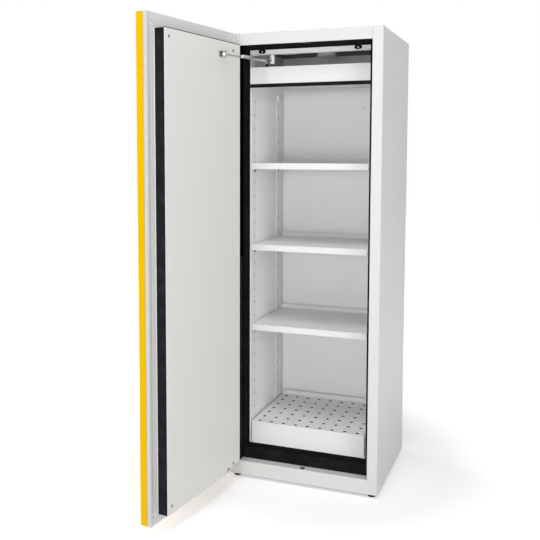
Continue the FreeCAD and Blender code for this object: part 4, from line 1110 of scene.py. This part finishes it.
@dataclass
class DoorLeaf:
    """Door leaf with its inner block, screws, corner covers and hinges."""

    leaf: Leaf
    panel_face: float = 63.0 * MM
    pan_face: float = 19.0 * MM
    free_edge: float = 644.0 * MM
    block_edge: float = 593.6 * MM
    bead: float = 1.3 * MM
    seam: float = 0.9 * MM
    screw: Screw = Screw(4.6 * MM, 0.8 * MM)
    screw_inset: float = 29 * MM
    screw_columns: tuple[float, float] = (93 * MM, 565 * MM)
    lone_screw: tuple[float, float] = (136 * MM, 18 * MM)
    rivet: Screw = Screw(2.6 * MM, 0.9 * MM, Drive.PLAIN, 16)
    cover: tuple[float, float] = (47 * MM, 50 * MM)
    low_fold: tuple[float, float] = (50 * MM, 33 * MM)
    pin_ends: tuple[tuple[float, int], ...] = (
        (182 * MM, -1), (258 * MM, 1), (1740 * MM, -1), (1816 * MM, 1))

    def build(self) -> None:
        """Dresses the leaf and adds its fixings."""
        dress(YELLOW, "door_outer_skin")
        dress(LIGHT_GREY, "door_inner_pan")
        dress(PANEL_GREY, "door_inner_panel")
        dress(EDGE_SEAL, "door_edge_frame")
        dress(MINERAL, "door_core", "door_block_core")
        dress(ZINC, "bolt_lower", "bolt_upper")
        dress(DULL_ZINC, "hinge_brackets", "hinge_knuckles")
        self.screws()
        self.corner_covers()
        self.edge_lip()
        self.free_edge_trim()
        self.edge_beads()
        self.hinge_caps()

    def screws(self) -> None:
        """Cross-recess screws that hold the inner panel, in place of the plain heads, each in a
        black washer ring whose darkness paints the shade round the head.
        """
        low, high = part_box("door_inner_panel")
        rows = (low.z + self.screw_inset, high.z - self.screw_inset)
        spots = [(along, level) for level in rows for along in self.screw_columns]
        spots.append((self.lone_screw[0], low.z + self.lone_screw[1]))
        # The black ring stands for a washer and paints the shade of the groove round each head.
        washer = profile((4.6, 0), (6.2, 0), (5.8, 0.5), (4.6, 0.5))
        heads, rings = Shape(), Shape()
        for along, level in spots:
            place = self.leaf.at(along, self.panel_face, level)
            self.screw.add(heads, place)
            rings.spun(washer, place, 24)
        heads.done("panel_screw_heads", DULL_ZINC, "door", "zinc", ["panel_screws"])
        rings.done("screw_shade_rings", BLACK_PLASTIC, "door", "black_plastic")

    def line(self, shape: Shape, start: Corner, end: Corner) -> None:
        """Adds a thin straight seam on the pan's inner face.

        Args:
            shape: Mesh that takes the seam.
            start: First end, as u and z.
            end: Second end, as u and z.
        """
        first = Vector((start[0], self.pan_face, start[1]))
        run = Vector((end[0], self.pan_face, end[1])) - first
        turn = (self.leaf.matrix @ Matrix.Translation(first)
                @ Matrix.Rotation(-math.atan2(run.z, run.x), 4, "Y"))
        shape.block((0, -0.05 * MM, -self.seam / 2),
                    (run.length, 0.12 * MM, self.seam / 2), turn=turn)

    def corner_covers(self) -> None:
        """Folds, a rivet and a dark disc that paints the shade of a drain hole, at the free
        corners of the pan.
        """
        low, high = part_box("door_inner_pan")
        edge, inner = self.free_edge, self.free_edge - self.cover[0]
        below = high.z - self.cover[1]
        fold = (edge - self.low_fold[0], low.z + self.low_fold[1])
        seams = Shape()
        for start, end in (((inner, high.z), (inner, below)), ((inner, below), (edge, below)),
                           ((edge, low.z), fold)):
            self.line(seams, start, end)
        seams.done("pan_seams", SEAM_GREY, "door", "carcass_grey")
        rivets = Shape()
        self.rivet.add(rivets, self.leaf.at(edge - 34 * MM, self.pan_face, high.z - 30 * MM))
        rivets.done("pan_rivet", DULL_ZINC, "door", "zinc")
        # A dark disc on the pan paints the shade inside a drain hole.
        Shape().spun(tube(0, 2.2 * MM, 0, 0.15 * MM),
                     self.leaf.at(edge - 20 * MM, self.pan_face, low.z + 32 * MM), 16).done(
            "drain_hole_shade", HOLE_SHADE, "door", "black_plastic")

    def edge_lip(self) -> None:
        """Black lip of the edge seal along the head of the inner panel."""
        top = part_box("door_inner_panel")[1].z
        Shape().block((39 * MM, self.panel_face - 4 * MM, top - 0.2 * MM),
                      (593 * MM, self.panel_face - 0.6 * MM, top + 3.2 * MM), 0.5 * MM, 1,
                      self.leaf.matrix).done("edge_lip", EDGE_SEAL, "door", "seal_black")

    def free_edge_trim(self) -> None:
        """Gap between skin and pan on the free edge, and the pan's slanting hem."""
        low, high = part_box("door_inner_pan")
        edge, place = self.free_edge, self.leaf.matrix
        Shape().block((edge - 0.2 * MM, 4.4 * MM, low.z + 1 * MM),
                      (edge + 0.1 * MM, 5.4 * MM, high.z - 1 * MM), turn=place).done(
            "leaf_gap", SEAM_GREY, "door", "carcass_grey")
        wedge = [(edge - 17 * MM, self.pan_face), (edge, self.pan_face),
                 (edge, self.pan_face + 1.7 * MM)]
        Shape().slab(wedge, high.z - low.z, turn=place @ Matrix.Translation((0, 0, low.z))
                     ).done("pan_hem", LIGHT_GREY, "door", "carcass_grey", sharp=4.0)

    def edge_beads(self) -> None:
        """Thin beads down both edges of the inner block's free side; they are round to catch
        light, and their whiter coat paints part of the edge highlight.
        """
        low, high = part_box("door_inner_panel")
        bead = tube(0, self.bead, 0, high.z - low.z)
        shape = Shape()
        for along, depth in ((self.block_edge, self.panel_face - 0.9 * MM),
                             (self.block_edge + 2 * MM, self.pan_face + 0.3 * MM)):
            shape.spun(bead, self.leaf.matrix @ Matrix.Translation((along, depth, low.z)), 16)
        shape.done("edge_beads", INTERIOR_WHITE, "door", "carcass_grey")

    def hinge_caps(self) -> None:
        """Domed caps on both ends of each hinge pin."""
        cap = profile((0, 0), (5.5, 0), (5, 0.9), (3, 1.5), (0, 1.7))
        shape = Shape()
        for level, way in self.pin_ends:
            shape.spun(cap, self.leaf.matrix @ facing((0, 0, way), (0, 0, level)), 20)
        shape.done("hinge_pin_caps", ZINC, "cabinet", "zinc")


@dataclass
class HandleSet:
    """Handle plate, lever and lock cylinder on the outside of the leaf."""

    leaf: Leaf
    along: float = 592.0 * MM
    level: float = 1010.0 * MM
    skin: float = -26.0 * MM
    plate: float = 9.0 * MM
    width: float = 40.0 * MM
    height: float = 170.0 * MM
    drop: float = 62.0 * MM
    grip: float = 18.0 * MM
    grip_outline: tuple[Corner, ...] = (
        (12, -8), (8, -16), (-3, -25), (-20, -33), (-40, -36), (-118, -38), (-124, -35),
        (-124, -31), (-118, -27), (-34, -24), (-18, -20), (-10, -12), (-9, -8))

    def build(self) -> None:
        """Builds plate, lever and cylinder in place of the plain ones."""
        self.backplate()
        self.lever()
        self.cylinder()

    def on_plate(self, level: float) -> Matrix:
        """Place on the plate's face at a level, with its axis outwards."""
        return self.leaf.at(self.along, self.skin - self.plate, level, True)

    def backplate(self) -> None:
        """Long plate with rounded ends, two screw covers and the lever's collar."""
        half = self.width / 2
        low = self.level - (self.height - self.width)
        shape = Shape().block((self.along - half, self.skin - self.plate, low),
                              (self.along + half, self.skin, low + self.height), 4 * MM, 4,
                              self.leaf.matrix)
        cover = profile((0, 0), (6, 0), (5.6, 0.9), (3, 1.2), (0, 1.2))
        for level in (low + 14 * MM, low + self.height - 12 * MM):
            shape.spun(cover, self.on_plate(level), 24)
        collar = profile((0, 0), (12.5, 0), (12.5, 1.6), (11, 2.6), (8.6, 2.6), (0, 1.2))
        shape.spun(collar, self.on_plate(self.level)).done(
            "handle_backplate", BLACK_PLASTIC, "door", "black_plastic", ["handle_plate"])

    def lever(self) -> None:
        """Lever: round neck, sloping elbow and a flat grip that points to the hinges."""
        neck = profile((0, 0), (8, 0), (8, 9), (7.4, 16), (0, 16))
        outline = [(self.along + across * MM, self.skin - self.plate + depth * MM)
                   for across, depth in self.grip_outline]
        place = self.leaf.matrix @ Matrix.Translation((0, 0, self.level - self.grip / 2))
        Shape().spun(neck, self.on_plate(self.level), 24).slab(
            outline, self.grip, 2.4 * MM, place, 3).done(
            "lever_grip", BLACK_PLASTIC, "lever", "black_plastic", ["door_lever"])

    def cylinder(self) -> None:
        """Lock cylinder with a rose, a plug and a keyway."""
        spot = self.on_plate(self.level - self.drop)
        plug = profile((0, -8), (8.5, -8), (8.5, 3.2), (7.6, 4), (6, 4), (5.7, 3.5), (0, 3.5))
        Shape().spun(plug, spot).done("cylinder_plug", BRASS, "cylinder", "brass",
                                      ["lock_cylinder"])
        Shape().block((-1.0 * MM, -4.3 * MM, 3.4 * MM), (1.0 * MM, 4.3 * MM, 3.6 * MM),
                      turn=spot).done("keyway", BLACK_PLASTIC, "cylinder", "black_plastic")


@dataclass
class DoorGuide:
    """Arm, slider and rail that hold and guide the open door."""

    cap_inset: float = 12 * MM
    cap_size: tuple[float, float] = (32 * MM, 17 * MM)
    cap_proud: float = 0.6 * MM
    cap_rivet: Screw = Screw(3.2 * MM, 0.8 * MM, Drive.PLAIN, 16)
    slider_screw: Screw = Screw(6.5 * MM, 3.2 * MM)
    slider_foot: float = 13.5 * MM

    def build(self) -> None:
        """Dresses rail and bracket, and builds caps, arm, slider and buffer."""
        dress(INTERIOR_WHITE, "guide_rail")
        dress(DULL_ZINC, "arm_bracket")
        self.caps()
        self.arm()
        self.slider()
        self.buffer()

    def caps(self) -> None:
        """Oval caps on the rail with a bright rivet in the middle."""
        low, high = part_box("rail_caps")
        level = (low.z + high.z) / 2
        front = low.y - self.cap_proud
        ovals, rivets = Shape(), Shape()
        for side in Side:
            across = side.value * (high.x - self.cap_inset)
            ovals.slab(oval(*self.cap_size), high.y - front, 0.8 * MM,
                       facing((0, -1, 0), (across, high.y, level)))
            self.cap_rivet.add(rivets, facing((0, -1, 0), (across, front, level)))
        ovals.done("rail_ovals", RUBBER, "cabinet", "black_plastic", ["rail_caps"])
        rivets.done("rail_rivets", ZINC, "cabinet", "zinc")

    def arm(self) -> None:
        """Arm with turned eyes, a thin rod and a thicker sleeve."""
        start = Vector(joint("arm_pivot")["pos_m"])
        run = Vector(joint("slider_pivot")["pos_m"]) - start
        length = run.length
        turn = (Matrix.Translation(start)
                @ Matrix.Rotation(math.atan2(run.y, run.x), 4, "Z"))
        eye = profile((4.1, -7), (7.8, -7), (8.5, -5.6), (8.5, 5.6), (7.8, 7), (4.1, 7))
        rod = profile((0, 6), (4, 6), (4, 112), (6.9, 116), (7.7, 120))
        rod += profile((7.7, -26), (6.8, -18), (5, -6), (0, -6), level=length)
        Shape().spun(eye, turn).spun(rod, turn @ Matrix.Rotation(math.pi / 2, 4, "Y"),
                                     24).done("guide_bar", ZINC, "arm", "zinc",
                                              ["guide_arm"])
        sleeve = profile((4.1, -7.4), (10.6, -7.4), (10.6, 7.4), (4.1, 7.4))
        Shape().spun(sleeve, turn @ Matrix.Translation((length, 0, 0)), 36).done(
            "eye_sleeve", WHITE_PLASTIC, "arm", "white_plastic")

    def slider(self) -> None:
        """Round white slider that holds the arm's eye over a cap with a black screw."""
        low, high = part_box("guide_slider")
        spot = Vector(joint("slider_pivot")["pos_m"])
        turn = Matrix.Translation(spot)
        radius = (high.x - low.x) / 2
        chamfer = radius - 1.4 * MM
        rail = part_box("guide_rail")[0].z - spot.z
        top = high.z - spot.z
        foot, gap = self.slider_foot, 8.2 * MM
        shape = Shape().spun([(0, gap), (radius, gap), (radius, rail - 5 * MM),
                              (chamfer, rail - 3 * MM), (5 * MM, rail - 3 * MM),
                              (5 * MM, top), (0, top)], turn, 36)
        shape.spun([(0, -foot), (chamfer, -foot), (radius, 1.5 * MM - foot), (radius, -gap),
                    (0, -gap)], turn, 36)
        shape.spun(tube(0, 3.9 * MM, -gap, gap), turn, 20)
        shape.done("slider_block", WHITE_PLASTIC, "slider", "white_plastic",
                   ["guide_slider"])
        screw = Shape()
        self.slider_screw.add(screw, facing((0, 0, -1), (spot.x, spot.y, spot.z - foot)))
        screw.done("slider_screw", BLACK_PLASTIC, "slider", "black_plastic")

    def buffer(self) -> None:
        """Small black rubber piece with a pale knob beside it."""
        low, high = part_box("door_stop")
        middle = centre("door_stop")
        radius = (high.x - low.x) / 2
        Shape().spun([(0, low.z), (radius, low.z), (radius, high.z - 5 * MM),
                      (radius - 1.5 * MM, high.z - 2 * MM), (radius - 3.5 * MM, high.z),
                      (0, high.z)], upright("door_stop"), 28).done(
            "stop_buffer", RUBBER, "cabinet", "rubber", ["door_stop"])
        knob = profile((0, -3), (2.2, -3), (2.2, 3), (3.6, 5), (4, 7), (3.2, 9.5),
                       (1.6, 10.6), (0, 11))
        Shape().spun(knob, Matrix.Translation((low.x + 4 * MM, middle.y, high.z)), 20).done(
            "stop_knob", WHITE_PLASTIC, "cabinet", "white_plastic")


@dataclass
class Feet:
    """Levelling feet: ribbed pad, nut and threaded stud."""

    ribs: int = 24
    pitch: float = 1.25 * MM
    pad_top: float = 7.6 * MM
    nut_top: float = 11.6 * MM
    bodies: tuple[tuple[str, str], ...] = (
        ("foot_front_left", "foot_a"), ("foot_front_right", "foot_b"),
        ("foot_rear_left", "foot_c"), ("foot_rear_right", "foot_d"))

    def build(self) -> None:
        """Builds the four feet on their own bodies."""
        for node, body in self.bodies:
            self.pad(node, body)
            self.stud(node, body)

    def pad(self, node: str, body: str) -> None:
        """Builds a foot's pad.

        Args:
            node: Node that the foot stands for.
            body: Body that carries it.
        """
        low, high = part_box(node)
        spot = upright(node)
        radius = (high.x - low.x) / 2
        shape = Shape().spun([(0, low.z), (radius - 1.2 * MM, low.z), (radius, 1.0 * MM),
                              (radius, 4 * MM), (radius - 2 * MM, 5.4 * MM),
                              (8.6 * MM, self.pad_top), (0, self.pad_top)], spot, 36)
        for place in range(self.ribs):
            shape.block((radius - 0.6 * MM, -0.6 * MM, 1.1 * MM),
                        (radius + 0.35 * MM, 0.6 * MM, 4 * MM),
                        turn=spot @ Matrix.Rotation(TURN * place / self.ribs, 4, "Z"))
        shape.done(node + "_pad", BLACK_PLASTIC, body, "black_plastic", [node])

    def stud(self, node: str, body: str) -> None:
        """Builds a foot's nut and threaded stud.

        Args:
            node: Node that the foot stands for.
            body: Body that carries it.
        """
        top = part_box(node)[1].z
        spot = upright(node)
        thread = [(0, self.nut_top)]
        level = self.nut_top
        while level + self.pitch < top:
            thread += [(5.0 * MM, level), (4.55 * MM, level + self.pitch / 2)]
            level += self.pitch
        thread += [(4.6 * MM, top), (0, top)]
        Shape().spun(tube(0, 8.2 * MM, self.pad_top, self.nut_top), spot, 6).spun(
            thread, spot, 18).done(node + "_stud", ZINC, body, "zinc")


@dataclass
class SillBush:
    """Bush in the sill that takes the lower bolt."""

    sleeve: tuple[float, float] = (5.7 * MM, 6.25 * MM)
    sunk: float = 0.4 * MM

    def build(self) -> None:
        """Dresses the bush and sets a bright sleeve in it."""
        dress(BLACK_PLASTIC, "sill_bush")
        low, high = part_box("sill_bush")
        Shape().spun(tube(*self.sleeve, low.z, high.z - self.sunk), upright("sill_bush"),
                     28).done("bush_sleeve", ZINC, "cabinet", "zinc")


@dataclass(frozen=True)
class Lamp:
    """A soft square lamp: where it stands and looks, its edge and its power in watts."""

    name: str
    place: tuple[float, float, float]
    target: tuple[float, float, float]
    size: float
    power: float

    def build(self) -> None:
        """Sets the lamp up."""
        data = bpy.data.lights.new(self.name, "AREA")
        data.shape = "SQUARE"
        data.size = self.size
        data.energy = self.power
        item = bpy.data.objects.new(self.name, data)
        item.location = self.place
        run = Vector(self.target) - Vector(self.place)
        item.rotation_euler = run.to_track_quat("-Z", "Y").to_euler()
        bpy.context.scene.collection.objects.link(item)


@dataclass
class Studio:
    """Floor, lamps, surroundings and the camera."""

    focal_pixels: float = 784.05
    image_size: float = 540.0
    sensor: float = 36.0
    yaw: float = 21.91
    pitch: float = 4.616
    principal: tuple[float, float] = (235.0, 215.0)
    eye: tuple[float, float, float] = (0.9655, -3.4686, 1.4498)
    ambient: float = 0.26
    floor_radius: float = 14.0
    # Floor glow near and far, and the distances it ramps over; the weaker glow near the cabinet
    # paints a soft shade round it.
    floor_lift: tuple[float, float] = (0.34, 1.0)
    lift_run: tuple[float, float] = (0.6, 1.6)
    lamps: tuple[Lamp, ...] = (
        Lamp("key_lamp", (0.5, -5.6, 1.2), (0.0, -0.2, 0.9), 1.6, 90.0),
        Lamp("side_lamp", (4.2, -3.0, 1.6), (0.0, -0.4, 1.0), 2.2, 78.0),
        Lamp("top_lamp", (0.3, -2.0, 4.4), (0.1, -0.4, 0.2), 1.6, 56.0),
        Lamp("rear_lamp", (-4.4, 2.2, 2.2), (-0.2, 0.0, 1.0), 2.4, 80.0))

    def build(self) -> None:
        """Sets up everything round the cabinet."""
        self.camera()
        self.surroundings()
        self.floor()
        for lamp in self.lamps:
            lamp.build()
        bpy.context.scene.view_settings.view_transform = "Standard"

    def camera(self) -> None:
        """Camera at the viewing angle of the photograph."""
        data = bpy.data.cameras.new("camera")
        data.sensor_width = self.sensor
        data.lens = self.focal_pixels / self.image_size * self.sensor
        half = self.image_size / 2
        data.shift_x = (half - self.principal[0]) / self.image_size
        data.shift_y = (self.principal[1] - half) / self.image_size
        data.clip_end = 100.0
        item = bpy.data.objects.new("camera", data)
        item.location = self.eye
        item.rotation_euler = Euler((math.radians(90 - self.pitch), 0,
                                     math.radians(self.yaw)))
        bpy.context.scene.collection.objects.link(item)
        bpy.context.scene.camera = item

    def surroundings(self) -> None:
        """White surroundings that light the cabinet evenly."""
        world = bpy.data.worlds.new("studio")
        world.use_nodes = True
        bpy.context.scene.world = world
        graph = Graph(world.node_tree)
        mixed = graph.node("ShaderNodeMixShader", None,
                           [graph.seen(), graph.glow("Background", self.ambient),
                            graph.glow("Background", 1.0)]).out("Shader")
        graph.end(mixed, "ShaderNodeOutputWorld")

    def floor(self) -> None:
        """Pale floor that glows for camera rays and reflections; the glow is weaker near the
        cabinet, which paints a soft shade round it on top of its real shadow.
        """
        bm = bmesh.new()
        bmesh.ops.create_circle(bm, cap_ends=True, segments=64, radius=self.floor_radius)
        mesh = bpy.data.meshes.new("floor")
        bm.to_mesh(mesh)
        bm.free()
        made = bpy.data.materials.new("floor")
        made.use_nodes = True
        graph = Graph(made.node_tree)
        matt = graph.node("ShaderNodeBsdfDiffuse", None, {"Color": FLOOR_GREY}).out("BSDF")
        away = graph.node("ShaderNodeVectorMath", {"operation": "LENGTH"},
                          [graph.place()]).out("Value")
        near, far = self.floor_lift
        # The glow grows with distance from the middle, so the floor near the cabinet is darker:
        # a painted soft shade.
        lift = graph.glow("Emission", graph.ramp(away, *self.lift_run) * (far - near) + near)
        both = graph.node("ShaderNodeAddShader", None, [matt, lift]).out("Shader")
        graph.end(graph.node("ShaderNodeMixShader", None, [graph.seen(), matt, both]
                             ).out("Shader"))
        mesh.materials.append(made)
        item = bpy.data.objects.new("floor", mesh)
        bpy.context.scene.collection.objects.link(item)


def main() -> None:
    """Builds every sub-assembly in order."""
    logging.basicConfig(level=logging.INFO, format="%(message)s")
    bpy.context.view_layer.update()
    leaf = Leaf()
    assemblies = [Studio(), Carcass(), SealFrame(), Interior(), Sump(), Ventilation(),
                  DoorLeaf(leaf), HandleSet(leaf), DoorGuide(), Feet(), SillBush()]
    for assembly in assemblies:
        assembly.build()


if __name__ == "__main__":
    main()
